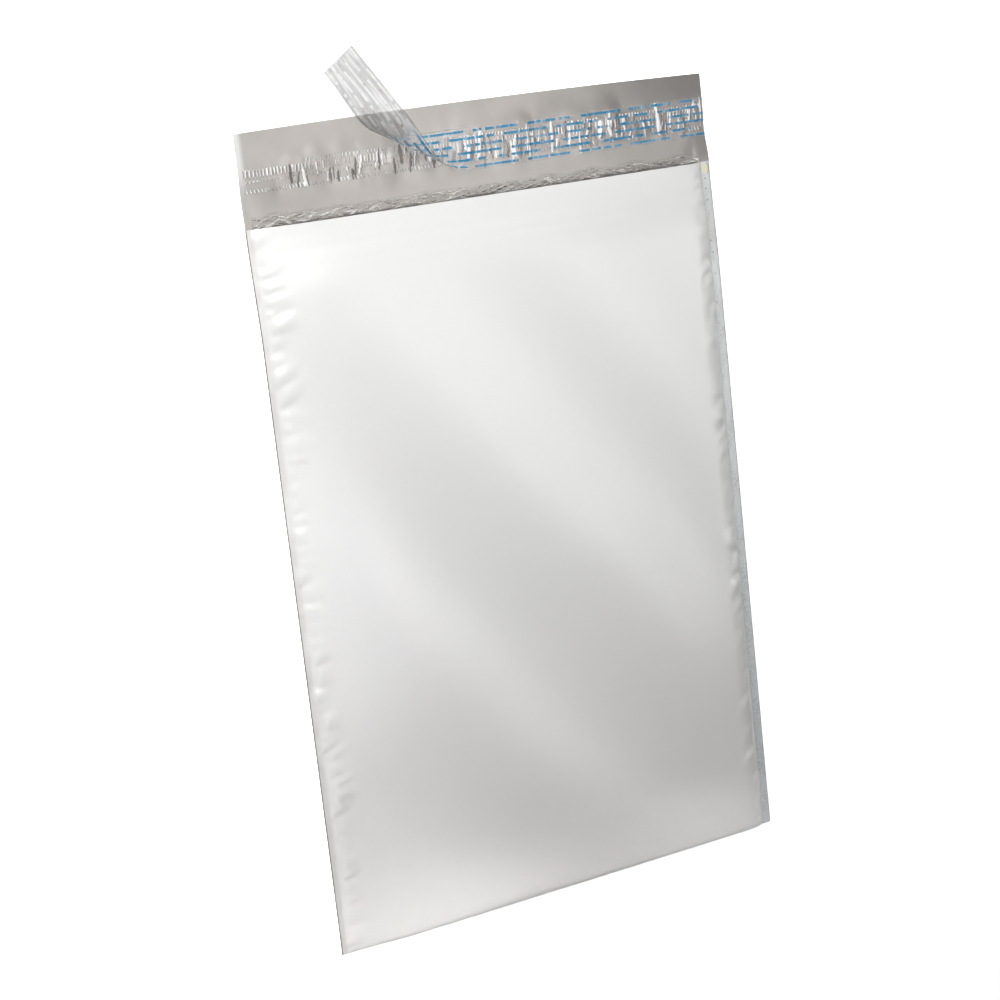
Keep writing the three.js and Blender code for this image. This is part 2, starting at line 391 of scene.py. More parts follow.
class Value:
    """A shader socket in Python arithmetic: each operator adds one Math node."""

    def __init__(self, shader: "Shader", socket: bpy.types.NodeSocket) -> None:
        """Wraps a socket of a shader's tree."""
        self.shader = shader
        self.socket = socket

    def _math(self, operation: str, *terms: "Value | float") -> "Value":
        """Adds a Math node.

        Args:
            operation: The node's operation.
            terms: Its operands in order.

        Returns:
            Its result.
        """
        return self.shader.value("ShaderNodeMath", {"operation": operation}, dict(enumerate(terms)))

    def __add__(self, other: "Value | float") -> "Value":
        """Sum."""
        return self._math("ADD", self, other)

    __radd__ = __add__

    def __sub__(self, other: "Value | float") -> "Value":
        """Difference."""
        return self._math("SUBTRACT", self, other)

    def __rsub__(self, other: "Value | float") -> "Value":
        """Difference from a number."""
        return self._math("SUBTRACT", other, self)

    def __mul__(self, other: "Value | float") -> "Value":
        """Product."""
        return self._math("MULTIPLY", self, other)

    __rmul__ = __mul__

    def __truediv__(self, other: "Value | float") -> "Value":
        """Quotient."""
        return self._math("DIVIDE", self, other)

    def __pow__(self, other: "Value | float") -> "Value":
        """Power."""
        return self._math("POWER", self, other)

    def __abs__(self) -> "Value":
        """Size without its sign."""
        return self._math("ABSOLUTE", self)

    def fraction(self) -> "Value":
        """What is left over a whole number."""
        return self._math("FRACT", self)

    def floor(self) -> "Value":
        """Whole number below."""
        return self._math("FLOOR", self)

    def at_least(self, other: "Value | float") -> "Value":
        """The larger of two values."""
        return self._math("MAXIMUM", self, other)

    def at_most(self, other: "Value | float") -> "Value":
        """The smaller of two values."""
        return self._math("MINIMUM", self, other)

    def step(self, low: float, high: float) -> "Value":
        """Smooth step from 0 at low to 1 at high.

        Args:
            low: Value where the step starts.
            high: Value where it ends, which may be below low.

        Returns:
            The step.
        """
        settings = {"interpolation_type": "SMOOTHSTEP"}
        inputs = {"Value": self, "From Min": low, "From Max": high}
        return self.shader.value("ShaderNodeMapRange", settings, inputs)


Term = Value | float | tuple[float, ...]
Color = tuple[float, float, float]


class Shader:
    """Node tree of one material, round a Principled BSDF that its finish fills."""

    def __init__(self, name: str) -> None:
        """Starts a material.

        Args:
            name: Name of the material.
        """
        self.material = bpy.data.materials.new(name)
        self.material.use_nodes = True
        self.tree = self.material.node_tree
        self.surface = self.tree.nodes["Principled BSDF"]
        coordinates = self.node("ShaderNodeTexCoord")
        self.place = Value(self, coordinates.outputs["Object"])

    def node(self, kind: str, settings: dict | None = None, inputs: dict | None = None) -> bpy.types.Node:
        """Adds a node.

        Args:
            kind: The node's type.
            settings: Its properties, which are set first.
            inputs: Values or links of its sockets, by name or index.

        Returns:
            The new node.
        """
        made = self.tree.nodes.new(kind)
        for name, setting in (settings or {}).items():
            setattr(made, name, setting)
        for key, term in (inputs or {}).items():
            self.feed(made.inputs[key], term)
        return made

    def feed(self, socket: bpy.types.NodeSocket, term: Term) -> None:
        """Links a value to a socket, or sets the socket to a number or colour.

        Args:
            socket: Input socket of a node.
            term: What it is fed with.
        """
        if isinstance(term, Value):
            self.tree.links.new(term.socket, socket)
        else:
            socket.default_value = term

    def value(
        self,
        kind: str,
        settings: dict | None = None,
        inputs: dict | None = None,
        output: str | int = 0,
    ) -> Value:
        """Adds a node and gives one of its outputs.

        Args:
            kind: The node's type.
            settings: Its properties.
            inputs: Values or links of its sockets.
            output: The output's name or index.

        Returns:
            That output as a value.
        """
        return Value(self, self.node(kind, settings, inputs).outputs[output])

    def axes(self, vector: Value) -> tuple[Value, Value, Value]:
        """The three parts of a vector."""
        parts = self.node("ShaderNodeSeparateXYZ", inputs={"Vector": vector})
        return tuple(Value(self, output) for output in parts.outputs)

    def mark(self, mark: Mark) -> Value:
        """A mark stored on the piece."""
        return self.value("ShaderNodeAttribute", {"attribute_name": mark.value}, output="Fac")

    def grain(
        self,
        pitch: float,
        detail: float = 2.0,
        stretch: Vector | None = None,
        place: Value | None = None,
    ) -> Value:
        """Noise from 0 to 1 over the piece.

        Args:
            pitch: Size of a feature in metres.
            detail: Octaves of finer noise.
            stretch: Factor along each axis, larger for finer.
            place: Coordinates to use instead of the piece's own.

        Returns:
            The noise.
        """
        where = place or self.place
        if stretch is not None:
            where = self.value("ShaderNodeMapping", inputs={"Vector": where, "Scale": tuple(stretch)})
        inputs = {"Vector": where, "Scale": 1 / pitch, "Detail": detail}
        return self.value("ShaderNodeTexNoise", inputs=inputs)

    def mix(self, share: Value, first: Value | Color, second: Value | Color) -> Value:
        """Colour between two colours.

        Args:
            share: 0 for the first and 1 for the second.
            first: Colour at 0.
            second: Colour at 1.

        Returns:
            The mixed colour.
        """
        ends = [end if isinstance(end, Value) else (*end, 1.0) for end in (first, second)]
        inputs = {"Factor": share, 6: ends[0], 7: ends[1]}
        return self.value("ShaderNodeMix", {"data_type": "RGBA"}, inputs, output=2)

    def bump(
        self,
        height: Value,
        distance: float,
        strength: float = 1.0,
        under: Value | None = None,
    ) -> Value:
        """Normal of a surface with small heights on it.

        Args:
            height: Heights from 0 to 1.
            distance: Real height of 1, in metres.
            strength: Share of the effect.
            under: Normal of a coarser bump below it.

        Returns:
            The normal.
        """
        inputs = {"Height": height, "Distance": distance, "Strength": strength}
        if under is not None:
            inputs["Normal"] = under
        return self.value("ShaderNodeBump", inputs=inputs)

    def finish(self, **sockets: Term) -> bpy.types.Material:
        """Fills the surface's sockets.

        Args:
            sockets: Values by socket name, with _ for a space.

        Returns:
            The finished material.
        """
        for name, term in sockets.items():
            self.feed(self.surface.inputs[name.replace("_", " ")], term)
        return self.material


def scatter(kind: type, seed: int, start: float, end: float, pitch: Span, *spans: Span) -> list:
    """Draws a row of features of one kind.

    Args:
        kind: Class of the features, whose first value is the place along the row.
        seed: Seed of the draw.
        start: Place of the first one.
        end: Place that the last one stays below.
        pitch: Span of the distance from one to the next.
        spans: Spans of the other values, in order.

    Returns:
        The features in order.
    """
    dice = random.Random(seed)
    found = []
    while start < end:
        found.append(kind(start, *(dice.uniform(*span) for span in spans)))
        start += dice.uniform(*pitch)
    return found


@dataclass(frozen=True)
class Pillow:
    """One pillow of film beside a weld, between two sharp creases."""

    along: float
    half_width: float
    start: float
    length: float
    height: float
    lean: float

    RISE = 0.25
    TOP = 0.15
    ROUNDNESS = 0.8

    def lift(self, inward: float, along: float) -> float:
        """Height that the pillow adds.

        Args:
            inward: Distance from the weld.
            along: Place along the weld.

        Returns:
            The height, 0 outside the pillow.
        """
        into = inward - self.start
        offset = (along - self.along - self.lean * into) / self.half_width
        if into <= 0 or abs(offset) >= 1:
            return 0.0
        fall = ease(into - self.TOP * self.length, (1 - self.TOP) * self.length)
        fade = ease(into, self.RISE * self.length) * (1 - fall)
        return self.height * fade * (1 - offset * offset) ** self.ROUNDNESS


@dataclass(frozen=True)
class Puckers:
    """All the pillows along one weld, each drawn from the spans given here."""

    seed: int
    half_width: Span
    start: Span
    length: Span
    height: Span
    lean: Span

    STEP = 1.9

    def draw(self, start: float, end: float) -> list[Pillow]:
        """Draws the pillows from one end of the weld to the other, side by side.

        Args:
            start: Place along the weld of the first pillow's edge.
            end: Place that the last one's edge stays below.

        Returns:
            The pillows in order.
        """
        dice = random.Random(self.seed)
        found = []
        while start < end:
            spans = (self.half_width, self.start, self.length, self.height, self.lean)
            half_width, *sizes = [dice.uniform(*span) for span in spans]
            found.append(Pillow(start + half_width, half_width, *sizes))
            start += self.STEP * half_width
        return found


@dataclass(frozen=True)
class Wrinkle:
    """One sharp little fold in a film: a crest with a hollow beside it."""

    x: float
    middle: float
    reach: float
    width: float
    lean: float
    height: float

    HOLLOW = 0.4
    HOLLOW_PLACE = 1.7
    WIDTHS = 4
    END_POWER = 4

    def crest(self, x: float, along: float) -> float:
        """Share of the full height at a place.

        Args:
            x: Place across the film.
            along: Distance from the film's middle line.

        Returns:
            The share, below 0 in the hollow.
        """
        offset = (x - self.x - self.lean * (along - self.middle)) / self.width
        if abs(offset) > self.WIDTHS:
            return 0.0
        ends = 1 - ramp(abs(along - self.middle), self.reach) ** self.END_POWER
        return self.height * ends * (bell(offset) - self.HOLLOW * bell(offset - self.HOLLOW_PLACE))


@dataclass(frozen=True)
class Wrinkles:
    """A run of wrinkles across a film, each drawn from the spans given here."""

    seed: int
    pitch: Span
    middle: Span
    reach: Span
    width: Span
    lean: Span
    height: Span

    def draw(self, start: float, end: float) -> list[Wrinkle]:
        """Draws the wrinkles from one place to another."""
        spans = (self.middle, self.reach, self.width, self.lean, self.height)
        return scatter(Wrinkle, self.seed, start, end, self.pitch, *spans)


@dataclass(frozen=True)
class FlapFold:
    """One standing fold across the adhesive, from the flap's side of it to the lip's side."""

    x: float
    width: float
    height: float
    above: float
    below: float
    lean: float

    def lift(self, x: float, along: float) -> float:
        """Height that the fold adds.

        Args:
            x: Place across the flap.
            along: Distance from the middle of the adhesive towards the flap's free edge.

        Returns:
            The height.
        """
        reach = self.above if along > 0 else self.below
        offset = (x - self.x - self.lean * along) / self.width
        return self.height * bell(offset) * bell(along / reach)


@dataclass(frozen=True)
class LipCrease:
    """One faint crease along the mouth, which wanders a little."""

    down: float
    wander: float
    pitch: float
    width: float
    depth: float
    layer: Layer

    def dip(self, x: float, down: float) -> float:
        """Depth of the crease at a place across and a distance down from the lip."""
        middle = self.down + self.wander * ruffle(x, 0, self.pitch, 1, self.layer)
        return self.depth * bell((down - middle) / self.width)


@dataclass
class PouchForm:
    """Heights of the pouch's film over the table."""

    left_weld: float = 2.4 * MM
    right_weld: float = 5.0 * MM
    weld_height: float = 3.6 * MM
    weld_drop: float = 48 * MM
    left_lift: float = 1.2 * MM
    right_lift: float = 2.6 * MM
    weld_gap: float = 0.12 * MM
    trim: float = 0.4 * MM
    left_start: float = 0.5
    left_foot: float = 5 * MM
    left_shoulder: float = 32 * MM
    right_shoulder: float = 11 * MM
    back_shoulder: float = 10 * MM
    tuck: float = 0.4
    tuck_reach: float = 1.6 * MM
    fold_taper: float = 5 * MM
    fold_power: float = 6.0
    pad_height: float = 9.2 * MM
    crown: float = 0.5 * MM
    pressed: float = 2.8 * MM
    mouth_taper: float = 28 * MM
    film: float = 0.15 * MM
    swell: float = 1.6 * MM
    swell_change: float = 4.5
    wave_length: float = 89 * MM
    wave_crest: float = 16 * MM
    wave_slant: float = 40
    wave_bend: float = 5 * MM
    bend_pitch: float = 90 * MM
    wave_noise: float = 0.15
    noise_pitch: Span = (40 * MM, 34 * MM)
    mouth_calm: float = 30 * MM
    fold_calm: float = 32 * MM
    side_calm: float = 30 * MM
    crease_margin: float = 10 * MM
    crease_pitch: Span = (35 * MM, 20 * MM)
    pillow_reach: float = 20 * MM
    pillow_span: float = 15 * MM
    pillow_margin: float = 3 * MM
    back_pillows: float = 0.5
    back_clear: float = 2 * MM
    strip_inset: float = 18 * MM
    flap_rise: float = 26 * MM
    flap_wave: float = 2.0 * MM
    flap_pitch: Span = (24 * MM, 50 * MM)
    corner_drop: float = 16 * MM
    flap_dent: float = 1.6 * MM
    dent_pitch: Span = (8 * MM, 11 * MM)
    dent_reach: float = 11 * MM
    dent_margin: float = 25 * MM
    fold_span: float = 20 * MM
    half_width: float = field(init=False)
    fold_y: float = field(init=False)
    lip_y: float = field(init=False)
    flap_y: float = field(init=False)

    FLAP_DEPTH = 37 * MM
    FLAP_BOW = 1.2 * MM
    LIP_MARGIN = 5 * MM
    FLAP_MARGIN = 14 * MM
    LEFT = Puckers(
        seed=3,
        half_width=(1.9 * MM, 4.4 * MM),
        start=(-1.6 * MM, 0.2 * MM),
        length=(8 * MM, 16 * MM),
        height=(0.5 * MM, 1.6 * MM),
        lean=(-0.1, 0.45),
    )
    RIGHT = Puckers(
        seed=8,
        half_width=(2.0 * MM, 4.2 * MM),
        start=(0.2 * MM, 1.4 * MM),
        length=(5 * MM, 12 * MM),
        height=(0.3 * MM, 1.1 * MM),
        lean=(-0.6, 0.2),
    )
    LIP_CREASES = (
        LipCrease(10 * MM, 2 * MM, 60 * MM, 1.6 * MM, 0.3 * MM, Layer.FIRST_CREASE),
        LipCrease(16 * MM, 3 * MM, 45 * MM, 1.3 * MM, 0.21 * MM, Layer.SECOND_CREASE),
    )
    FOLD_SEED = 21
    FOLD_PITCH = (4 * MM, 12 * MM)
    FOLD_SPANS = {
        "width": (1.4 * MM, 4.0 * MM),
        "height": (0.2 * MM, 1.3 * MM),
        "above": (3 * MM, 9 * MM),
        "below": (4 * MM, 11 * MM),
        "lean": (-0.25, 0.1),
    }

    def __post_init__(self) -> None:
        """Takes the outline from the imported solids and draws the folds."""
        low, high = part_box("outer_pouch")
        self.half_width = high.x
        self.fold_y = low.y
        self.flap_y = high.y - self.FLAP_BOW
        self.lip_y = self.flap_y - self.FLAP_DEPTH
        start = self.fold_y + self.fold_taper / 2
        end = self.lip_y - self.LIP_MARGIN
        self.pillows = {Side.LEFT: self.LEFT.draw(start, end), Side.RIGHT: self.RIGHT.draw(start, end)}
        first = self.FLAP_MARGIN - self.half_width
        spans = self.FOLD_SPANS.values()
        self.flap_folds = scatter(FlapFold, self.FOLD_SEED, first, self.half_width, self.FOLD_PITCH, *spans)

    @property
    def strip_y(self) -> float:
        """Middle of the adhesive and of the release film."""
        return self.flap_y - self.strip_inset

    def side(self, x: float) -> Side:
        """The side of the pouch that a place lies on."""
        return Side.RIGHT if x > 0 else Side.LEFT

    def weld_edge(self, side: Side) -> float:
        """Distance of a weld's inner edge from the middle."""
        return self.half_width - (self.right_weld if side is Side.RIGHT else self.left_weld)

    def lift(self, x: float) -> float:
        """Height of the nearer corner of the lip."""
        return self.right_lift if x > 0 else self.left_lift

    def from_weld(self, x: float) -> float:
        """Distance from a weld's inner edge, below zero inside the weld."""
        return self.weld_edge(self.side(x)) - abs(x)

    def weld_middle(self, x: float, y: float) -> float:
        """Height of the nearer weld, which changes towards the lip's corner."""
        corner = self.lift(x)
        return corner + (self.weld_height - corner) * ease(self.lip_y - y, self.weld_drop)

    def gap(self, x: float, y: float) -> float:
        """Half the distance between the two films of a weld, closed at the trimmed edge and the fold."""
        return self.weld_gap * ramp(self.half_width - abs(x), self.trim) * ramp(y - self.fold_y, self.trim)

    def pucker(self, x: float, y: float) -> float:
        """Height that the pillows of the nearer weld add.

        Args:
            x: Place across.
            y: Place along.

        Returns:
            The height of the highest pillow there, 0 where there is none.
        """
        inward = self.from_weld(x)
        if not -self.left_weld < inward < self.pillow_reach:
            return 0.0
        near = (pillow for pillow in self.pillows[self.side(x)] if abs(pillow.along - y) < self.pillow_span)
        return max((pillow.lift(inward, y) for pillow in near), default=0.0)

    def waves(self, x: float, y: float) -> float:
        """Long soft waves of the panel, slanting across it.

        Args:
            x: Place across.
            y: Place along.

        Returns:
            Their height, below 0 in the troughs.
        """
        slant = math.radians(self.wave_slant)
        across = x * math.cos(slant) + y * math.sin(slant)
        bend = self.wave_bend * ruffle(x, y, self.bend_pitch, self.bend_pitch, Layer.WAVE_BEND)
        broad = math.cos(2 * math.pi * (across + bend - self.wave_crest) / self.wave_length)
        strength = 1 - self.swell_change * across
        uneven = self.wave_noise * ruffle(x, y, *self.noise_pitch, Layer.WAVE_NOISE)
        return self.swell * strength * (broad + uneven)

    def lip_creases(self, x: float, y: float) -> float:
        """Depth of the faint creases parallel to the mouth, as a height below 0."""
        strength = 0.5 + 0.5 * ruffle(x, y, *self.crease_pitch, Layer.CREASE_STRENGTH)
        return -strength * sum(crease.dip(x, self.lip_y - y) for crease in self.LIP_CREASES)

    def from_fold(self, y: float) -> float:
        """Share of the full height of a panel at a distance from the bottom fold."""
        return rise(y - self.fold_y, self.fold_taper, self.fold_power)

    def front_fill(self, x: float, y: float) -> float:
        """Share of the full height of the front panel, steep beside the right weld and soft beside the left.

        Args:
            x: Place across.
            y: Place along.

        Returns:
            The share, from 0 to 1.
        """
        inward = self.from_weld(x)
        if self.side(x) is Side.LEFT:
            foot = self.left_start + (1 - self.left_start) * ease(inward, self.left_foot)
            return foot * rise(inward, self.left_shoulder) * self.from_fold(y)
        soft = rise(inward, self.right_shoulder)
        return (soft + self.tuck * (rise(inward, self.tuck_reach) - soft)) * self.from_fold(y)

    def back_fill(self, x: float, y: float) -> float:
        """Share of the way from the weld's height down to the table, on the back panel."""
        return rise(self.from_weld(x), self.back_shoulder) * self.from_fold(y)

    def smooth_front(self, x: float, y: float) -> float:
        """Height of the front panel without its folds and waves.

        Args:
            x: Place across.
            y: Place along.

        Returns:
            The height.
        """
        low = self.weld_middle(x, y)
        crown = self.crown * (1 - ramp(abs(x), self.weld_edge(self.side(x))) ** 2)
        pressed = self.pressed * (1 - ease(self.lip_y - y, self.mouth_taper))
        full = self.pad_height + crown - pressed
        return low + (full - low) * self.front_fill(x, y)

    def front(self, x: float, y: float) -> float:
        """Height of the front panel's outer face.

        Args:
            x: Place across.
            y: Place along.

        Returns:
            The height.
        """
        inward, down = self.from_weld(x), self.lip_y - y
        calm = ease(down, self.mouth_calm) * ease(y - self.fold_y, self.fold_calm)
        waves = self.waves(x, y) * calm * ease(inward, self.side_calm)
        soft = waves + self.lip_creases(x, y) * ease(inward, self.crease_margin)
        small = self.from_fold(y) * ease(down, self.pillow_margin) * self.pucker(x, y)
        return self.smooth_front(x, y) + self.gap(x, y) + small + soft

    def back(self, x: float, y: float) -> float:
        """Height of the back panel's outer face, on the table or above it.

        Args:
            x: Place across.
            y: Place along.

        Returns:
            The height.
        """
        smooth = self.weld_middle(x, y) * (1 - self.back_fill(x, y))
        folds = self.back_pillows * self.pucker(x, y) * ramp(smooth, self.back_clear)
        return max(0.0, smooth - self.gap(x, y) - folds)

    def flap(self, x: float, y: float) -> float:
        """Height of the flap's lower face.

        Args:
            x: Place across.
            y: Place along.

        Returns:
            The height.
        """
        out = y - self.lip_y
        grown = ease(out, self.flap_rise)
        wave = self.flap_wave * (0.5 + 0.5 * ruffle(x, y, *self.flap_pitch, Layer.FLAP_WAVE))
        near = (fold for fold in self.flap_folds if abs(fold.x - x) < self.fold_span)
        folds = sum(fold.lift(x, y - self.strip_y) for fold in near)
        corner = self.back(x, self.lip_y) * (1 - ease(out, self.corner_drop))
        inward = ease(self.half_width - abs(x), self.dent_margin)
        near_strip = bell((y - self.strip_y) / self.dent_reach) * inward
        dents = self.flap_dent * near_strip * ruffle(x, y, *self.dent_pitch, Layer.FLAP_DENT)
        return max(0.0, grown * (wave + folds + dents)) + corner

    def flap_top(self, x: float, y: float) -> float:
        """Height of the flap's upper face."""
        return self.flap(x, y) + self.film

    def flap_place(self, x: float, share: float) -> Vector:
        """Place on the flap's lower face.

        Args:
            x: Place across the flap.
            share: Share of the way from the lip to the free edge, which bows outwards.

        Returns:
            The place in space.
        """
        reach = self.FLAP_DEPTH + self.FLAP_BOW * (1 - ramp(abs(x), self.half_width) ** 2)
        y = self.lip_y + share * reach
        return Vector((x, y, self.flap(x, y)))


@dataclass(frozen=True)
class FilmFinish:
    """White film outside, silvery grey inside, with bluish welds and a dark trimmed edge."""

    white: Color = (0.885, 0.885, 0.875)
    warm_white: Color = (0.865, 0.845, 0.825)
    # painted shade in the crease beside the right weld
    weld_shade: Color = (0.30, 0.27, 0.235)
    grey: Color = (0.60, 0.565, 0.535)
    # painted highlight along the flap's left edge
    edge_glare: Color = (0.90, 0.89, 0.88)
    seam: Color = (0.60, 0.565, 0.54)
    weld: Color = (0.76, 0.80, 0.82)
    trimmed: Color = (0.16, 0.13, 0.11)
    ivory: Color = (0.84, 0.80, 0.60)
    dark: Color = (0.30, 0.31, 0.32)
    spot_place: Span = (105.4 * MM, 146.0 * MM)
    spot_size: Span = (1.7 * MM, 2.4 * MM)
    dot_pitch: float = 4.5 * MM
    dot_radius: float = 0.45 * MM
    dots_from: float = 60 * MM
    trim: float = 0.55 * MM
    weld_shade_width: float = 1.9 * MM
    edge_glare_width: float = 3.6 * MM
    seam_width: float = 3.8 * MM
    gloss: float = 0.75
    roughness: float = 0.31
    mottle_pitch: float = 30 * MM
    pebble_pitch: float = 0.55 * MM
    pebble_height: float = 0.025 * MM
    speckle_pitch: float = 1.1 * MM
    blotch_pitch: float = 6 * MM
    dimple_pitch: float = 7 * MM
    dimple_height: float = 0.10 * MM
    warm_span: Span = (20 * MM, -150 * MM)
    lower_span: Span = (140 * MM, -60 * MM)
    edge_glare_span: Span = (-8 * MM, 4 * MM)
    # share of the grey that is kept where the painted shade at the right is full
    darkest: float = 0.42
    shade_reach: float = 7 * MM
    dots_fade: float = 30 * MM
    spot_rim: float = 1.3
    soft_edge: float = 0.3 * MM
    lip_edge: float = 0.1 * MM

    def material(self, form: PouchForm) -> bpy.types.Material:
        """Makes the material.

        Args:
            form: Sizes of the pouch.

        Returns:
            The film's material.
        """
        shader = Shader("mailer_film")
        x, y, _ = shader.axes(shader.place)
        inner = shader.mark(Mark.INNER)
        front = shader.mark(Mark.FRONT)
        mottle = shader.grain(self.mottle_pitch, 3.0)
        pebble = shader.grain(self.pebble_pitch, 3.0)
        weld, edge = self.welds(x, y, form)
        warmth = (y.step(*self.warm_span) * 0.7 + mottle * 0.3).at_most(1.0)
        outside = shader.mix(warmth, self.white, self.warm_white)
        speckle = shader.grain(self.speckle_pitch, 3.0).step(0.35, 0.65)
        outside = shader.mix(speckle * 0.06, outside, self.weld)
        blotch = shader.grain(self.blotch_pitch, 2.0, Vector((1.0, 0.6, 1.0))).step(0.3, 0.65)
        inner_edge = form.weld_edge(Side.RIGHT)
        lower = y.step(*self.lower_span)
        # painted shade in the crease beside the right weld, patchy and stronger towards the bottom fold
        weld_shade = x.step(inner_edge - self.weld_shade_width, inner_edge - self.soft_edge) * (0.35 + 0.65 * blotch)
        outside = shader.mix(weld_shade * front * (0.58 + 0.3 * lower), outside, self.weld_shade)
        seam = x.step(self.seam_width - form.half_width, 0.4 * self.seam_width - form.half_width)
        outside = shader.mix(seam * front * (0.08 + 0.3 * blotch), outside, self.seam)
        outside = shader.mix(weld * (0.3 + 0.35 * lower + 0.35 * speckle), outside, self.weld)
        outside = shader.mix(self.dots(shader, x, y, form) * front, outside, self.dark)
        rim = self.spot(x, y, self.spot_rim) * front * x.step(self.spot_place[0], form.half_width)
        outside = shader.mix(rim, outside, self.dark)
        outside = shader.mix(self.spot(x, y, 1.0) * front, outside, self.ivory)
        outside = shader.mix(edge * 0.9, outside, self.trimmed)
        color = shader.mix(inner, outside, self.inside(shader, x, y, mottle, form))
        roughness = self.roughness + 0.08 * (pebble - 0.5) + 0.09 * inner
        soft = shader.bump(shader.grain(self.dimple_pitch, 2.0), self.dimple_height, 0.5)
        normal = shader.bump(pebble, self.pebble_height, 0.6, under=soft)
        return shader.finish(
            Base_Color=color,
            Roughness=roughness,
            Metallic=0.3 * inner,
            Normal=normal,
            Specular_IOR_Level=self.gloss,
        )

    def welds(self, x: Value, y: Value, form: PouchForm) -> tuple[Value, Value]:
        """Where the right weld and the dark trimmed edge are.

        Args:
            x: Place across.
            y: Place along.
            form: Sizes of the pouch.

        Returns:
            A mask of each, from 0 to 1.
        """
        inner_edge = form.weld_edge(Side.RIGHT)
        below_lip = y.step(form.lip_y + self.lip_edge, form.lip_y - self.lip_edge)
        edge = x.step(self.trim - form.half_width, 0.6 * self.trim - form.half_width)
        return x.step(inner_edge, inner_edge + self.soft_edge) * below_lip, edge * below_lip

    def inside(self, shader: Shader, x: Value, y: Value, mottle: Value, form: PouchForm) -> Value:
        """Colour of the grey inner face, with painted shade that darkens it to the right and a painted
        highlight along the flap's left edge.

        Args:
            shader: Tree to add to.
            x: Place across.
            y: Place along.
            mottle: Broad noise.
            form: Sizes of the pouch.

        Returns:
            The colour.
        """
        darker = tuple(self.darkest * part for part in self.grey)
        outer = 0.5 + 0.5 * y.step(form.lip_y, form.flap_y)
        # painted shade: darker towards the right and towards the flap's free edge, with some random tone
        shade = mottle.step(0.3, 0.75) * 0.2 + x.step(0.0, form.half_width + self.shade_reach) * outer
        plain = shader.mix(shade.at_most(1.0), self.grey, darker)
        # painted highlight along the flap's left edge
        rim = x.step(self.edge_glare_width - form.half_width, 0.3 * self.edge_glare_width - form.half_width)
        start, end = (form.strip_y + place for place in self.edge_glare_span)
        return shader.mix(rim * y.step(start, end), plain, self.edge_glare)

    def dots(self, shader: Shader, x: Value, y: Value, form: PouchForm) -> Value:
        """Small melted dots along the right weld, unevenly spaced.

        Args:
            shader: Tree to add to.
            x: Place across.
            y: Place along.
            form: Sizes of the pouch.

        Returns:
            1 on a dot and 0 beside it.
        """
        cell = (y / self.dot_pitch).floor()
        chance = shader.value("ShaderNodeTexWhiteNoise", {"noise_dimensions": "1D"}, {"W": cell})
        middle = form.half_width - form.right_weld * (0.45 + 0.25 * chance)
        along = ((y / self.dot_pitch).fraction() - 0.3 - 0.4 * chance) * self.dot_pitch
        away = ((x - middle) ** 2 + along ** 2) ** 0.5
        shown = chance.step(0.3, 0.4) * y.step(self.dots_from, self.dots_from + self.dots_fade)
        return away.step(self.dot_radius, 0.5 * self.dot_radius) * shown

    def spot(self, x: Value, y: Value, scale: float) -> Value:
        """Oval drop at the top of the right weld.

        Args:
            x: Place across.
            y: Place along.
            scale: Factor of its size.

        Returns:
            1 on the drop and 0 beside it.
        """
        across = (x - self.spot_place[0]) / (scale * self.spot_size[0])
        along = (y - self.spot_place[1]) / (scale * self.spot_size[1])
        return (across ** 2 + along ** 2).step(1.1, 0.75)


@dataclass
class Pouch:
    """Outer pouch: one film, folded at the bottom, welded up the sides and left long as the flap."""

    form: PouchForm
    finish: FilmFinish = FilmFinish()
    fill: float = 0.35
    bridge: float = 0.8 * MM
    fold_rows: float = 2 * MM
    mouth_rows: float = 20 * MM
    shoulder: float = 18 * MM
    row_steps: tuple[int, ...] = (9, 4, 216, 18)
    column_steps: tuple[int, ...] = (1, 2, 24, 28, 24, 4, 1)
    flap_steps: tuple[int, int] = (210, 32)

    def build(self) -> bpy.types.Object:
        """Makes and dresses the pouch.

        Returns:
            The piece.
        """
        form = self.form
        bm = new_mesh(Mark.FRONT)
        marks = {Mark.FRONT: lambda x, y: 1.0}
        back = lay_bag(bm, self._columns(), self._rows(), form.front, form.back, marks)
        self._add_flap(bm, back)
        bmesh.ops.recalc_face_normals(bm, faces=bm.faces)
        highest = max(bm.faces, key=lambda face: face.calc_center_median().z)
        if highest.normal.z < 0:
            bmesh.ops.reverse_faces(bm, faces=bm.faces)
        piece = to_piece(bm, "pouch")
        thicken(piece, form.film)
        dress(piece, self.finish.material(form), Slot.FILM, "outer_pouch")
        return piece

    def _rows(self) -> Spacing:
        """Spaces the rows along the pouch, close together at the fold and at the mouth.

        Returns:
            The rows.
        """
        fold, lip = self.form.fold_y, self.form.lip_y
        stops = (fold, fold + self.fold_rows, fold + self.form.fold_taper, lip - self.mouth_rows, lip)
        return Spacing(stops, self.row_steps)

    def _columns(self) -> Spacing:
        """Spaces the columns across the pouch, close together at the welds and their folds.

        Returns:
            The columns.
        """
        form = self.form
        left, right = form.weld_edge(Side.LEFT), form.weld_edge(Side.RIGHT)
        stops = (
            -form.half_width, form.trim - form.half_width, -left, self.shoulder - left,
            right - self.shoulder, right, form.half_width - form.trim, form.half_width,
        )
        return Spacing(stops, self.column_steps)

    def _add_flap(self, bm: BMesh, back: list[BMVert]) -> None:
        """Adds the flap beyond the lip and joins it to the back sheet.

        Args:
            bm: Mesh of the pouch.
            back: Points of the back sheet.
        """
        form = self.form
        across = Spacing((-form.half_width, form.half_width), self.flap_steps[:1])
        along = Spacing((self.bridge / form.FLAP_DEPTH, 1.0), self.flap_steps[1:])
        flap = lay_grid(bm, across, along, form.flap_place)
        limit = form.lip_y + 2 * self.bridge
        near = {vert for vert in flap if vert.is_boundary and vert.co.y < limit}
        rim = {edge for vert in near for edge in vert.link_edges if edge.is_boundary}
        start = [edge for edge in rim if near.issuperset(edge.verts)]
        lip = row_edges(back, form.lip_y)
        bmesh.ops.bridge_loops(bm, edges=start + lip)


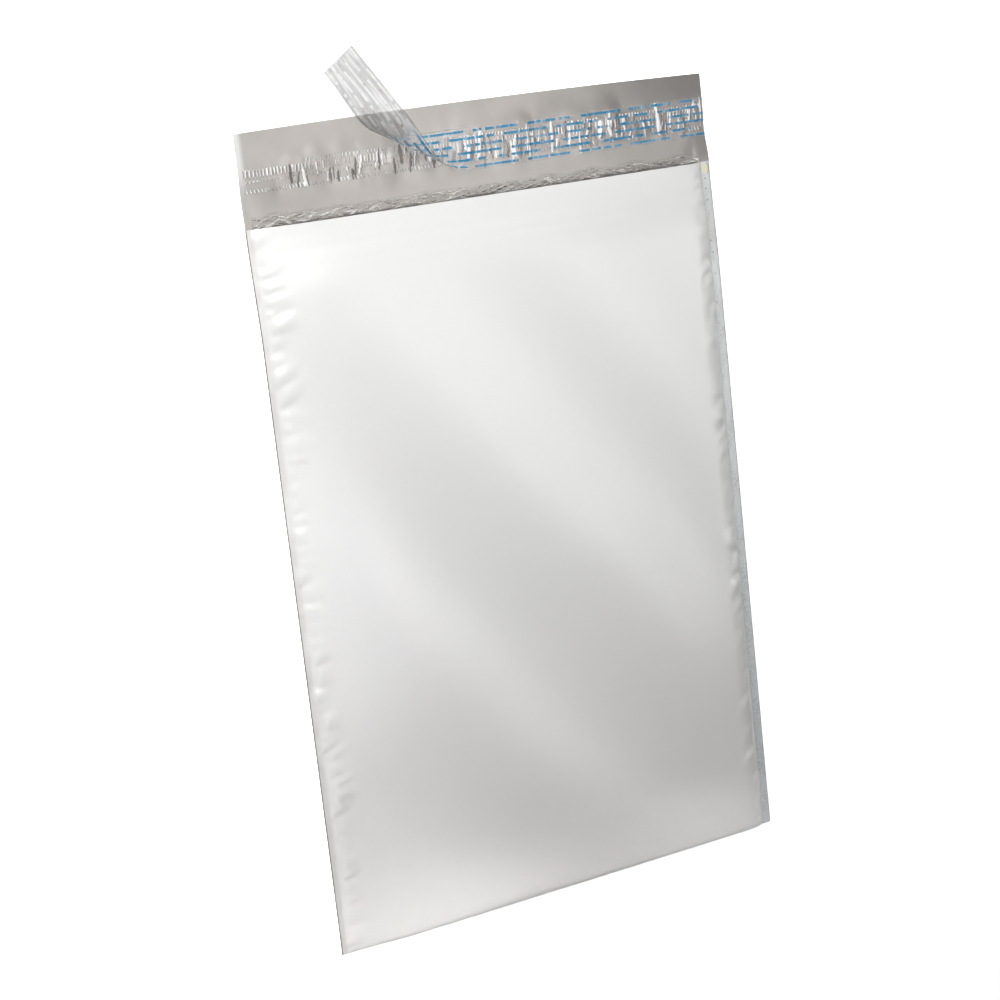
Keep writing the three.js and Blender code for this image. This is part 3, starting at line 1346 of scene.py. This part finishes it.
@dataclass(frozen=True)
class LiningFinish:
    """Milky bubble film, clear where it is pressed, so that the grey film shows through it."""

    milky: Color = (0.70, 0.69, 0.67)
    pressed: Color = (0.46, 0.425, 0.395)
    # painted shade in the gaps between the crinkles
    hollow: Color = (0.24, 0.215, 0.195)
    # lighter crinkles: partly painted highlight, partly the film's own whitening where it is creased; also
    # the milky film's paler patches
    crest: Color = (0.84, 0.82, 0.79)
    # painted shadow under the front panel's lip
    mouth: Color = (0.10, 0.09, 0.08)
    mottle_pitch: float = 9 * MM
    line_span: Span = (0.0, 0.8)
    gap_span: Span = (-0.55, -0.95)
    lip_shadow_span: Span = (0.8 * MM, -0.5 * MM)
    grain_pitch: float = 1.1 * MM
    grain_height: float = 0.12 * MM

    def material(self, form: PouchForm) -> bpy.types.Material:
        """Makes the material.

        Args:
            form: Sizes of the pouch.

        Returns:
            The lining's material.
        """
        shader = Shader("bubble_film")
        _, y, _ = shader.axes(shader.place)
        pressed = shader.mark(Mark.PRESSED)
        crest = shader.mark(Mark.CREST)
        mottle = shader.grain(self.mottle_pitch, 2.0)
        lines = crest.step(*self.line_span)
        gaps = crest.step(*self.gap_span)
        # painted shadow on the part of the pressed edge that lies under the front panel's lip
        lip = y.step(*(form.lip_y + place for place in self.lip_shadow_span)) * 0.85
        # painted shade in the gaps between the crinkles
        flat = shader.mix(gaps, self.pressed, self.hollow)
        # lighter crests: partly painted highlight, partly the film's whitening where it is creased
        flat = shader.mix(lines, flat, self.crest)
        flat = shader.mix(lip, flat, self.mouth)
        shown = (0.05 + 0.8 * lines + 0.35 * gaps + lip).at_most(1.0)
        milky = shader.mix(mottle.step(0.35, 0.7) * 0.4, self.milky, self.crest)
        color = shader.mix(pressed, milky, flat)
        roughness = 0.20 + 0.16 * mottle
        grain = shader.grain(self.grain_pitch, 3.0, Vector((0.5, 1.2, 1.0)))
        normal = shader.bump(grain, self.grain_height, 0.5)
        alpha = 1 - pressed * (1 - shown)
        return shader.finish(Base_Color=color, Roughness=roughness, Alpha=alpha, Normal=normal)


@dataclass
class Lining:
    """Bubble film folded inside the pouch, with its pressed edge beyond the lip."""

    form: PouchForm
    finish: LiningFinish = LiningFinish()
    fill: float = 0.3
    film: float = 0.12 * MM
    clearance: float = 0.45 * MM
    inset: float = 5 * MM
    lip_inset: float = 1.5 * MM
    band_depth: float = 4.4 * MM
    band_overlap: float = 6 * MM
    band_inset: float = 0.6 * MM
    band_clear: float = 0.1 * MM
    band_steps: tuple[int, int] = (420, 50)
    edge_wander: float = 1.1 * MM
    edge_pitch: float = 11 * MM
    edge_slope: float = 0.004
    braid_slant: float = 13
    braid_pitch: Span = (12 * MM, 0.65 * MM)
    braid_fade: float = 1.6 * MM
    crinkle_height: float = 0.45 * MM
    bulge: float = 0.2 * MM
    bulge_pitch: Span = (16 * MM, 6 * MM)
    bubble_pitch: float = 11 * MM
    bubble_radius: float = 4.7 * MM
    bubble_height: float = 1.9 * MM
    bubble_margin: float = 16 * MM
    bubble_segments: tuple[int, int] = (12, 6)
    mouth_margin: float = 6 * MM
    flattest: float = 0.25
    side_part: float = 12 * MM
    fold_part: float = 14 * MM
    side_columns: float = 22 * MM
    column_steps: tuple[int, ...] = (14, 30, 14)
    row_steps: tuple[int, ...] = (9, 70)

    def build(self) -> bpy.types.Object:
        """Makes and dresses the lining.

        Returns:
            The piece.
        """
        form = self.form
        bm = new_mesh(Mark.PRESSED, Mark.CREST)
        left, right = (form.weld_edge(side) - self.inset for side in (Side.LEFT, Side.RIGHT))
        stops = (-left, self.side_columns - left, right - self.side_columns, right)
        across = Spacing(stops, self.column_steps)
        start, end = form.fold_y + self.inset, form.lip_y - self.lip_inset
        along = Spacing((start, form.fold_y + form.fold_taper, end), self.row_steps)
        lay_bag(bm, across, along, self._front, self._back)
        piece = to_piece(bm, "bubble_lining_film")
        thicken(piece, self.film)
        hanging = self._bubbles(lambda x, y: self._front(x, y) - self.film, -1)
        standing = self._bubbles(self._back_inside, 1)
        join(piece, hanging, standing, self._band())
        dress(piece, self.finish.material(form), Slot.LINING, "bubble_lining")
        return piece

    def _share(self, x: float, y: float) -> float:
        """How far the two layers have parted, from 0 at their closed edges."""
        inward = self.form.from_weld(x) - self.inset
        return rise(inward, self.side_part) * rise(y - self.form.fold_y - self.inset, self.fold_part)

    def _middle(self, x: float, y: float) -> float:
        """Height where the two layers meet at their closed edges."""
        return (self.form.smooth_front(x, y) + self.form.back(x, y)) / 2

    def _front(self, x: float, y: float) -> float:
        """Height of the front layer, under the front panel and the troughs of its waves.

        Args:
            x: Place across.
            y: Place along.

        Returns:
            The height.
        """
        trough = min(0.0, self.form.waves(x, y))
        top = self.form.smooth_front(x, y) + trough - self.clearance
        middle = self._middle(x, y)
        return middle + max(0.0, top - middle) * self._share(x, y)

    def _back(self, x: float, y: float) -> float:
        """Height of the back layer, over the back panel.

        Args:
            x: Place across.
            y: Place along.

        Returns:
            The height.
        """
        foot = self.form.back(x, y) + self.form.film + self.clearance
        middle = self._middle(x, y)
        return middle - max(0.0, middle - foot) * self._share(x, y)

    def _back_inside(self, x: float, y: float) -> float:
        """Height of the back layer's inner face."""
        return self._back(x, y) + self.film

    def _bubbles(self, layer: Height, side: int) -> bpy.types.Object:
        """Makes the bubbles of one layer, in staggered rows and flatter towards the pressed mouth.

        Args:
            layer: Height of the layer's inner face.
            side: 1 for bubbles that stand up and -1 for bubbles that hang down.

        Returns:
            A piece with all of them.
        """
        form = self.form
        step = Vector((self.bubble_pitch, self.bubble_pitch * math.sqrt(3), 0))
        margin = self.inset + self.bubble_margin
        first = Vector((margin - form.weld_edge(Side.LEFT), form.fold_y + margin, 0))
        room = Vector((form.weld_edge(Side.RIGHT) - margin, form.lip_y - self.mouth_margin, 0)) - first
        bm = bmesh.new()
        for centre in (first, first + step / 2):
            self._add_bubble(bm, centre, side)
        piece = to_piece(bm, "bubbles")
        repeat(piece, Vector((step.x, 0, 0)), int(room.x / step.x))
        repeat(piece, Vector((0, step.y, 0)), int(room.y / step.y))
        bake(piece)
        for vert in piece.data.vertices:
            x, y, z = vert.co
            flat = self.flattest + (1 - self.flattest) * ease(form.lip_y - y, 2 * form.mouth_taper)
            vert.co.z = layer(x, y) + flat * z
        return piece

    def _add_bubble(self, bm: BMesh, centre: Vector, side: int) -> None:
        """Adds one bubble: the half of a flattened ball that stands out from its layer.

        Args:
            bm: Mesh to add to.
            centre: Middle of its base, at the height of the layer.
            side: 1 for upwards and -1 for downwards.
        """
        size = Matrix.Diagonal((self.bubble_radius, self.bubble_radius, self.bubble_height, 1.0))
        place = Matrix.Translation(centre) @ size
        around, over = self.bubble_segments
        made = bmesh.ops.create_uvsphere(bm, u_segments=around, v_segments=over, radius=1.0, matrix=place)
        ball = made["verts"]
        geometry = [*ball, *{edge for vert in ball for edge in vert.link_edges}, *faces_of(ball)]
        base, normal = Vector((0, 0, -side * self.film / 2)), Vector((0, 0, side))
        cut = bmesh.ops.bisect_plane(bm, geom=geometry, plane_co=base, plane_no=normal, clear_inner=True)
        rim = [item for item in cut["geom_cut"] if isinstance(item, bmesh.types.BMEdge)]
        bmesh.ops.edgeloop_fill(bm, edges=rim)

    def _band(self) -> bpy.types.Object:
        """Makes the pressed and crinkled edge that lies on the flap beyond the lip.

        Returns:
            A piece with that edge.
        """
        form = self.form
        left, right = (form.weld_edge(side) - self.band_inset for side in (Side.LEFT, Side.RIGHT))
        across = Spacing((-left, right), self.band_steps[:1])
        along = Spacing((form.lip_y - self.band_overlap, form.lip_y + self.band_depth), self.band_steps[1:])
        bm = new_mesh(Mark.PRESSED, Mark.CREST)
        marks = {Mark.PRESSED: lambda x, y: 1.0, Mark.CREST: self._braid}
        lay_grid(bm, across, along, self._band_place, marks)
        strip = to_piece(bm, "crinkled_edge")
        thicken(strip, self.film)
        return strip

    def _braid(self, x: float, y: float) -> float:
        """Fine ridges of the crinkled edge, which cross at a shallow angle.

        Args:
            x: Place across.
            y: Place along.

        Returns:
            1 on a crest and -1 between crests, fading to 0 at the outer edge.
        """
        slant = math.radians(self.braid_slant)
        crests = []
        for turn, layer in ((slant, Layer.BRAID_UP), (-slant, Layer.BRAID_DOWN)):
            run = x * math.cos(turn) + y * math.sin(turn)
            over = y * math.cos(turn) - x * math.sin(turn)
            crests.append(ridge(run, over, *self.braid_pitch, layer))
        fade = ease(self.form.lip_y + self.band_depth - y, self.braid_fade)
        return fade * (2 * max(crests) - 1)

    def _band_place(self, x: float, y: float) -> Vector:
        """Place of a point of the crinkled edge, whose outer line wanders.

        Args:
            x: Place across.
            y: Place along, on an edge that doesn't wander.

        Returns:
            The place in space.
        """
        form = self.form
        out = y - form.lip_y
        end = ramp(out + self.band_overlap, self.band_overlap + self.band_depth)
        wander = self.edge_wander * ruffle(x, 0, self.edge_pitch, 1, Layer.BAND_EDGE) - self.edge_slope * x
        foot = form.flap_top(x, y) if out > 0 else form.back(x, y) + form.film
        base = foot + self.film + self.band_clear
        bulge = self.bulge * (1 + ruffle(x, y, *self.bulge_pitch, Layer.BULGE))
        height = base + bulge + self.crinkle_height * (0.5 + 0.5 * self._braid(x, y))
        if out < 0:
            height = min(height, form.front(x, y) - form.film - self.band_clear)
        return Vector((x, y + end * wander, height))


@dataclass(frozen=True)
class AdhesiveFinish:
    """Tacky clear band over the grey film, white where its wrinkles catch the light."""

    grey: Color = (0.43, 0.40, 0.375)
    # painted shade in the hollows of the wrinkles
    hollow: Color = (0.20, 0.18, 0.165)
    pale: Color = (0.93, 0.92, 0.91)
    lit_span: Span = (0.15, 0.5)
    shaded_span: Span = (-0.06, -0.4)
    mottle_pitch: float = 4 * MM
    grain_pitch: float = 1.2 * MM
    grain_height: float = 0.08 * MM

    def material(self) -> bpy.types.Material:
        """Makes the material.

        Returns:
            The adhesive's material.
        """
        shader = Shader("tacky_adhesive")
        crest = shader.mark(Mark.CREST)
        lit = crest.step(*self.lit_span)
        shaded = crest.step(*self.shaded_span)
        color = shader.mix(shaded, self.grey, self.hollow)
        color = shader.mix(lit, color, self.pale)
        alpha = (lit + 0.75 * shaded).at_most(1.0)
        roughness = 0.22 + 0.14 * shader.grain(self.mottle_pitch, 2.0)
        normal = shader.bump(shader.grain(self.grain_pitch, 2.0), self.grain_height, 0.4)
        return shader.finish(Base_Color=color, Roughness=roughness, Alpha=alpha, Normal=normal)


@dataclass(frozen=True)
class TickRow:
    """One row of small upright wrinkles with hollows between them, evenly spaced and uneven in strength."""

    middle: float
    reach: float
    lean: float
    height: float
    seed: float
    start: float = -math.inf

    PITCH = 1.5 * MM
    HOLLOW = 0.35
    JITTER = 0.35 * PITCH
    JITTER_PITCH = 4 * PITCH
    STRENGTH = 0.7
    STRENGTH_CHANGE = 0.8
    STRENGTH_PITCH = 11 * MM
    END_POWER = 4

    def crest(self, x: float, along: float) -> float:
        """Share of the full height at a place.

        Args:
            x: Place across the flap.
            along: Distance from the adhesive's middle line.

        Returns:
            The share, below 0 in the hollows.
        """
        ends = 1 - ramp(abs(along - self.middle), self.reach) ** self.END_POWER
        if ends <= 0 or x < self.start:
            return 0.0
        shifted = x - self.lean * along + self.JITTER * ruffle(x, 0, self.JITTER_PITCH, 1, self.seed)
        wave = 0.5 + 0.5 * math.cos(2 * math.pi * shifted / self.PITCH)
        comb = wave ** 2 - self.HOLLOW * (1 - wave) ** 2
        change = self.STRENGTH_CHANGE * ruffle(x, 0, self.STRENGTH_PITCH, 1, self.seed + 0.5)
        return self.height * ends * comb * ramp(self.STRENGTH + change, 1.0)


@dataclass
class Adhesive:
    """Adhesive band across the flap, gathered into rows of ticks and crumpled further along."""

    form: PouchForm
    finish: AdhesiveFinish = AdhesiveFinish()
    width: float = 12.4 * MM
    end_margin: float = 2 * MM
    thickness: float = 0.1 * MM
    clearance: float = 0.05 * MM
    crest_height: float = 0.5 * MM
    crumpled_from: float = -86 * MM
    crumple_reach: float = 6 * MM
    crumple_span: float = 4 * MM
    tick_loss: float = 0.2
    edge_width: float = 0.8 * MM
    deepest: float = -0.1
    steps: tuple[int, int] = (640, 28)

    ROWS = (
        TickRow(middle=5.0 * MM, reach=1.3 * MM, lean=0.1, height=0.95, seed=4.5, start=-80 * MM),
        TickRow(middle=2.2 * MM, reach=2.0 * MM, lean=0.0, height=1.0, seed=1.5),
        TickRow(middle=-1.0 * MM, reach=0.7 * MM, lean=0.0, height=0.7, seed=2.5),
        TickRow(middle=-4.7 * MM, reach=1.1 * MM, lean=-0.3, height=0.95, seed=3.5),
    )
    CRUMPLES = Wrinkles(
        seed=12,
        pitch=(0.6 * MM, 2.6 * MM),
        middle=(-3.5 * MM, 3.5 * MM),
        reach=(1.2 * MM, 6.0 * MM),
        width=(0.3 * MM, 0.75 * MM),
        lean=(-0.2, 0.2),
        height=(-0.9, 0.9),
    )

    def build(self) -> bpy.types.Object:
        """Makes and dresses the adhesive.

        Returns:
            The piece.
        """
        form = self.form
        reach = form.half_width - self.end_margin
        self.crumples = self.CRUMPLES.draw(self.crumpled_from, reach)
        across = Spacing((-reach, reach), self.steps[:1])
        along = Spacing((form.strip_y - self.width / 2, form.strip_y + self.width / 2), self.steps[1:])
        bm = new_mesh(Mark.CREST)
        lay_grid(bm, across, along, self._place, {Mark.CREST: self._crest})
        piece = to_piece(bm, "adhesive_band")
        thicken(piece, self.thickness)
        return dress(piece, self.finish.material(), Slot.ADHESIVE, "adhesive_strip")

    def _crest(self, x: float, y: float) -> float:
        """Share of the crests' full height at a place.

        Args:
            x: Place across.
            y: Place along.

        Returns:
            The share, below 0 in the hollows.
        """
        along = y - self.form.strip_y
        edge = ease(self.width / 2 - abs(along), self.edge_width)
        ticks = sum(row.crest(x, along) for row in self.ROWS)
        folds = sum(fold.crest(x, along) for fold in self.crumples if abs(fold.x - x) < self.crumple_span)
        kept = 1 - self.tick_loss * ramp(x - self.crumpled_from, self.crumple_reach)
        return edge * (ticks * kept + folds)

    def _place(self, x: float, y: float) -> Vector:
        """Place of a point of the band's upper face."""
        foot = self.form.flap_top(x, y) + self.thickness + self.clearance
        return Vector((x, y, foot + self.crest_height * max(self.deepest, self._crest(x, y))))


@dataclass(frozen=True)
class ReleaseFinish:
    """Clear film with rows of blue dashes on its upper face, greyish from below."""

    clear: Color = (0.70, 0.70, 0.69)
    blue: Color = (0.035, 0.25, 0.44)
    smoky: Color = (0.33, 0.33, 0.325)
    faded: Color = (0.56, 0.56, 0.555)
    rim: Color = (0.22, 0.20, 0.19)
    gleam: Color = (0.97, 0.97, 0.97)
    # painted shade in the hollows of the creases, also the colour of the darker streaks on the peeled part
    hollow: Color = (0.24, 0.21, 0.19)
    rows: int = 6
    row_fill: float = 0.34
    group_length: float = 25 * MM
    group_fill: float = 0.84
    rim_share: float = 0.028
    lit_span: Span = (0.2, 0.55)
    hollow_span: Span = (-0.05, -0.35)
    smear_pitch: float = 2.6 * MM
    grain_pitch: float = 1.6 * MM
    grain_height: float = 0.05 * MM
    row_offset: float = 30 * MM
    ragged_pitch: float = 0.8 * MM
    break_pitch: float = 2.6 * MM
    group_edge: float = 0.015
    dash_edge: float = 0.04

    def material(self, width: float, length: float, peel_share: float) -> bpy.types.Material:
        """Makes the material.

        Args:
            width: Width of the strip.
            length: Length of the strip.
            peel_share: Share of the length, from the cut end, that is peeled.

        Returns:
            The release film's material.
        """
        shader = Shader("release_film")
        shader.material.use_transparent_shadow = True
        flat = shader.value("ShaderNodeUVMap", {"uv_map": ReleaseFilm.FLAT_MAP})
        u, v, _ = shader.axes(flat)
        along, across = u * length, v * width
        on_film = shader.value("ShaderNodeCombineXYZ", inputs={"X": along, "Y": across})
        dashes = self.dashes(shader, along, v)
        crest = shader.mark(Mark.CREST)
        peeled = u.step(0.62 * peel_share, 0.45 * peel_share)
        lit = crest.step(*self.lit_span)
        hollow = crest.step(*self.hollow_span)
        grain = shader.grain(self.smear_pitch, 3.0, Vector((0.16, 1.5, 1.0)), on_film)
        streaks = grain.step(0.47, 0.62) * peeled
        # darker streaks along the peeled part of the film
        dark_streaks = grain.step(0.46, 0.32) * peeled
        loose = u.step(1.08 * peel_share, 0.98 * peel_share)
        rim = abs(v - 0.5).step(0.5 - self.rim_share, 0.5 - 0.4 * self.rim_share) * (0.05 + 0.75 * loose)
        film = shader.mix(peeled, self.clear, self.smoky)
        film = shader.mix(streaks * 0.8, film, self.faded)
        film = shader.mix(dark_streaks * 0.6, film, self.hollow)
        # painted shade in the hollows of the creases
        film = shader.mix(hollow, film, self.hollow)
        film = shader.mix(lit, film, self.gleam)
        ink = shader.mix(peeled, self.blue, self.faded)
        color = shader.mix(dashes, film, ink)
        color = shader.mix(rim, color, self.rim)
        film_alpha = (0.03 + 0.17 * loose + 0.35 * peeled + 0.75 * lit + 0.3 * hollow).at_most(1.0)
        ink_alpha = 0.93 - 0.4 * peeled
        alpha = film_alpha + (ink_alpha - film_alpha) * dashes * (1 - 0.6 * lit)
        alpha = alpha.at_least(rim * 0.75)
        roughness = 0.12 + 0.12 * dashes + 0.1 * streaks
        fine = shader.grain(self.grain_pitch, 2.0, Vector((1.3, 0.3, 1.0)), on_film)
        normal = shader.bump(fine, self.grain_height, 0.4)
        return shader.finish(Base_Color=color, Roughness=roughness, Alpha=alpha, Normal=normal)

    def dashes(self, shader: Shader, along: Value, v: Value) -> Value:
        """Rows of ragged dashes, in groups that are staggered from row to row.

        Args:
            shader: Tree to add to.
            along: Distance along the strip in metres.
            v: Share of the width.

        Returns:
            1 on a dash and 0 beside it.
        """
        row = (v * self.rows).floor()
        in_row = abs((v * self.rows).fraction() - 0.5)
        chance = shader.value("ShaderNodeTexWhiteNoise", {"noise_dimensions": "1D"}, {"W": row})
        on_row = shader.value("ShaderNodeCombineXYZ", inputs={"X": along, "Y": row * self.row_offset})
        ragged = shader.grain(self.ragged_pitch, 1.0, place=on_row)
        broken = shader.grain(self.break_pitch, 1.0, place=on_row).step(0.36, 0.42)
        half = 0.5 * self.row_fill * (0.55 + 0.9 * ragged)
        band = (in_row - half).step(self.dash_edge, -self.dash_edge)
        group = (along / self.group_length + chance).fraction()
        in_group = group.step(0.0, self.group_edge)
        in_group *= group.step(self.group_fill, self.group_fill - self.group_edge)
        return band * in_group * broken * (0.55 + 0.45 * ragged.step(0.3, 0.5))


@dataclass
class ReleaseFilm:
    """Release film: on the adhesive from its right end, then rolled back over itself to its cut end."""

    form: PouchForm
    finish: ReleaseFinish = ReleaseFinish()
    width: float = 17.3 * MM
    length: float = 198.2 * MM
    end_margin: float = 0.5 * MM
    thickness: float = 0.06 * MM
    level: float = 1.55 * MM
    over_flap: float = 0.95 * MM
    peel_start: float = -11.4 * MM
    peel_slant: float = 28.7
    roll_radius: float = 9 * MM
    roll_turn: float = 192
    crease_height: float = 0.45 * MM
    crease_span: float = 7 * MM
    seat_fade: float = 8 * MM
    steps: tuple[int, int] = (560, 36)

    FLAT_MAP = "flat"
    CREASES = Wrinkles(
        seed=31,
        pitch=(0.4 * MM, 2.2 * MM),
        middle=(-3.5 * MM, 3.5 * MM),
        reach=(2.0 * MM, 8.0 * MM),
        width=(0.35 * MM, 0.95 * MM),
        lean=(-0.22, 0.22),
        height=(-0.6, 1.1),
    )

    def build(self) -> bpy.types.Object:
        """Makes and dresses the release film.

        Returns:
            The piece.
        """
        right = self.form.half_width - self.end_margin
        self.creases = self.CREASES.draw(self.peel_start, right)
        across = Spacing((right - self.length, right), self.steps[:1])
        side = Spacing((-self.width / 2, self.width / 2), self.steps[1:])
        bm = new_mesh(Mark.CREST)
        bm.loops.layers.uv.new(self.FLAT_MAP)
        lay_grid(bm, across, side, self._place, {Mark.CREST: self._crest})
        piece = to_piece(bm, "release_film")
        thicken(piece, self.thickness)
        peeled = (self.peel_start - right + self.length) / self.length
        material = self.finish.material(self.width, self.length, peeled)
        dress(piece, material, Slot.RELEASE_FILM, "release_liner")
        piece.visible_shadow = False  # the film is clear and hardly dims the light
        return piece

    def _place(self, x: float, side: float) -> Vector:
        """Where a point of the flat strip lies once it is peeled and rolled.

        Args:
            x: Place along the flat strip.
            side: Distance from its middle line, towards the flap's free edge.

        Returns:
            Its place, with the film's creases.
        """
        slant = math.radians(self.peel_slant)
        peel_line = Vector((math.cos(slant), -math.sin(slant), 0))
        outward = Vector((-math.sin(slant), -math.cos(slant), 0))
        flat = Vector((x - self.peel_start, side, 0))
        reach = flat.dot(outward)
        angle = min(max(reach / self.roll_radius, 0.0), math.radians(self.roll_turn))
        straight = reach - angle * self.roll_radius
        out = self.roll_radius * math.sin(angle) + straight * math.cos(angle)
        up = self.roll_radius * (1 - math.cos(angle)) + straight * math.sin(angle)
        normal = Vector((0, 0, math.cos(angle))) - outward * math.sin(angle)
        on_flap = 1 - ease(reach, self.seat_fade)
        y = self.form.strip_y + side
        seat = self.form.flap_top(x, y) + self.over_flap - self.level
        place = Vector((self.peel_start, self.form.strip_y, self.level + up + on_flap * seat))
        crease = self.crease_height * self._crest(x, side)
        return place + peel_line * flat.dot(peel_line) + outward * out + normal * crease

    def _crest(self, x: float, side: float) -> float:
        """Share of the creases' full height, below 0 in their hollows: none where the film is peeled."""
        return sum(crease.crest(x, side) for crease in self.creases if abs(crease.x - x) < self.crease_span)


@dataclass(frozen=True)
class SoftBox:
    """One rectangular studio light."""

    name: str
    place: tuple[float, float, float]
    target: tuple[float, float, float]
    size: tuple[float, float]
    watts: float
    roll: float = 0.0
    spread: float = 180

    def build(self) -> bpy.types.Object:
        """Makes the light.

        Returns:
            The light's object.
        """
        data = bpy.data.lights.new(self.name, "AREA")
        data.shape = "RECTANGLE"
        data.size, data.size_y = self.size
        data.energy = self.watts
        data.spread = math.radians(self.spread)
        light = bpy.data.objects.new(self.name, data)
        light.location = self.place
        light.rotation_mode = "QUATERNION"
        aim = (Vector(self.target) - Vector(self.place)).to_track_quat("-Z", "Y")
        light.rotation_quaternion = aim @ Quaternion((0, 0, 1), math.radians(self.roll))
        bpy.context.scene.collection.objects.link(light)
        return light


@dataclass
class Studio:
    """Pale floor, soft light and the camera of the photograph."""

    camera_place: tuple[float, float, float] = (-0.46572, 0.21912, 0.85035)
    camera_target: tuple[float, float, float] = (-0.00961, 0.02288, 0.0)
    image_up: tuple[float, float, float] = (0.19173, 0.97385, -0.1219)
    lens: float = 85.24
    sensor: float = 36
    clip_start: float = 0.01
    floor_size: float = 6.0
    floor_drop: float = 0.1 * MM
    floor_color: Color = (0.92, 0.92, 0.92)
    floor_glow: float = 0.78
    sky_strength: float = 0.0
    lights: tuple[SoftBox, ...] = (
        SoftBox("key", (-0.2, 0.5, 0.55), (-0.02, 0.05, 0.0), (0.34, 0.34), 2.3),
        SoftBox("beam", (-0.27, 0.42, 0.5), (-0.035, 0.13, 0.0), (0.3, 0.3), 0.49, spread=75),
        SoftBox("sheen", (0.83, -0.085, 1.1), (0.0, 0.0, 0.0), (0.3, 0.5), 2.1, roll=-40),
        SoftBox("corner", (-0.32, -0.34, 0.3), (-0.1, -0.14, 0.0), (0.2, 0.2), 0.44),
        SoftBox("corner_beam", (-0.1, 0.1, 0.5), (-0.075, -0.165, 0.0), (0.06, 0.06), 0.007, spread=13),
        SoftBox("bottom_beam", (0.0, 0.1, 0.5), (0.0, -0.158, 0.0), (0.26, 0.02), 0.0074, spread=8),
        SoftBox("left_beam", (-0.13, 0.2, 0.5), (-0.098, -0.008, 0.0), (0.04, 0.13), 0.004, spread=10),
    )

    def build(self) -> None:
        """Makes the floor, the lights, a dark sky and the camera."""
        self._floor()
        for light in self.lights:
            light.build()
        world = bpy.data.worlds.new("studio")
        world.use_nodes = True
        background = world.node_tree.nodes["Background"]
        background.inputs["Strength"].default_value = self.sky_strength
        bpy.context.scene.world = world
        bpy.context.scene.view_settings.view_transform = "Standard"
        self._camera()

    def _floor(self) -> None:
        """Makes the pale floor under the mailer."""
        bm = bmesh.new()
        bmesh.ops.create_grid(bm, x_segments=4, y_segments=4, size=self.floor_size / 2)
        bmesh.ops.translate(bm, verts=bm.verts, vec=(0, 0, -self.floor_drop))
        floor = to_piece(bm, "floor")
        shader = Shader("pale_floor")
        color = (*self.floor_color, 1.0)
        floor.data.materials.append(shader.finish(
            Base_Color=color, Roughness=0.9, Emission_Color=color, Emission_Strength=self.floor_glow,
        ))

    def _camera(self) -> None:
        """Sets the camera at the photograph's viewing angle."""
        data = bpy.data.cameras.new("camera")
        data.lens = self.lens
        data.sensor_width = self.sensor
        data.clip_start = self.clip_start
        camera = bpy.data.objects.new("camera", data)
        back = (Vector(self.camera_place) - Vector(self.camera_target)).normalized()
        right = Vector(self.image_up).cross(back).normalized()
        turn = Matrix((right, back.cross(right), back)).transposed()
        camera.matrix_world = Matrix.Translation(self.camera_place) @ turn.to_4x4()
        bpy.context.scene.collection.objects.link(camera)
        bpy.context.scene.camera = camera


def main() -> None:
    """Builds the mailer and the studio, piece by piece."""
    logging.basicConfig(level=logging.INFO, format="%(name)s %(relativeCreated)6.0f ms: %(message)s")
    form = PouchForm()
    Pouch(form).build()
    Lining(form).build()
    Adhesive(form).build()
    ReleaseFilm(form).build()
    Studio().build()


if __name__ == "__main__":
    main()
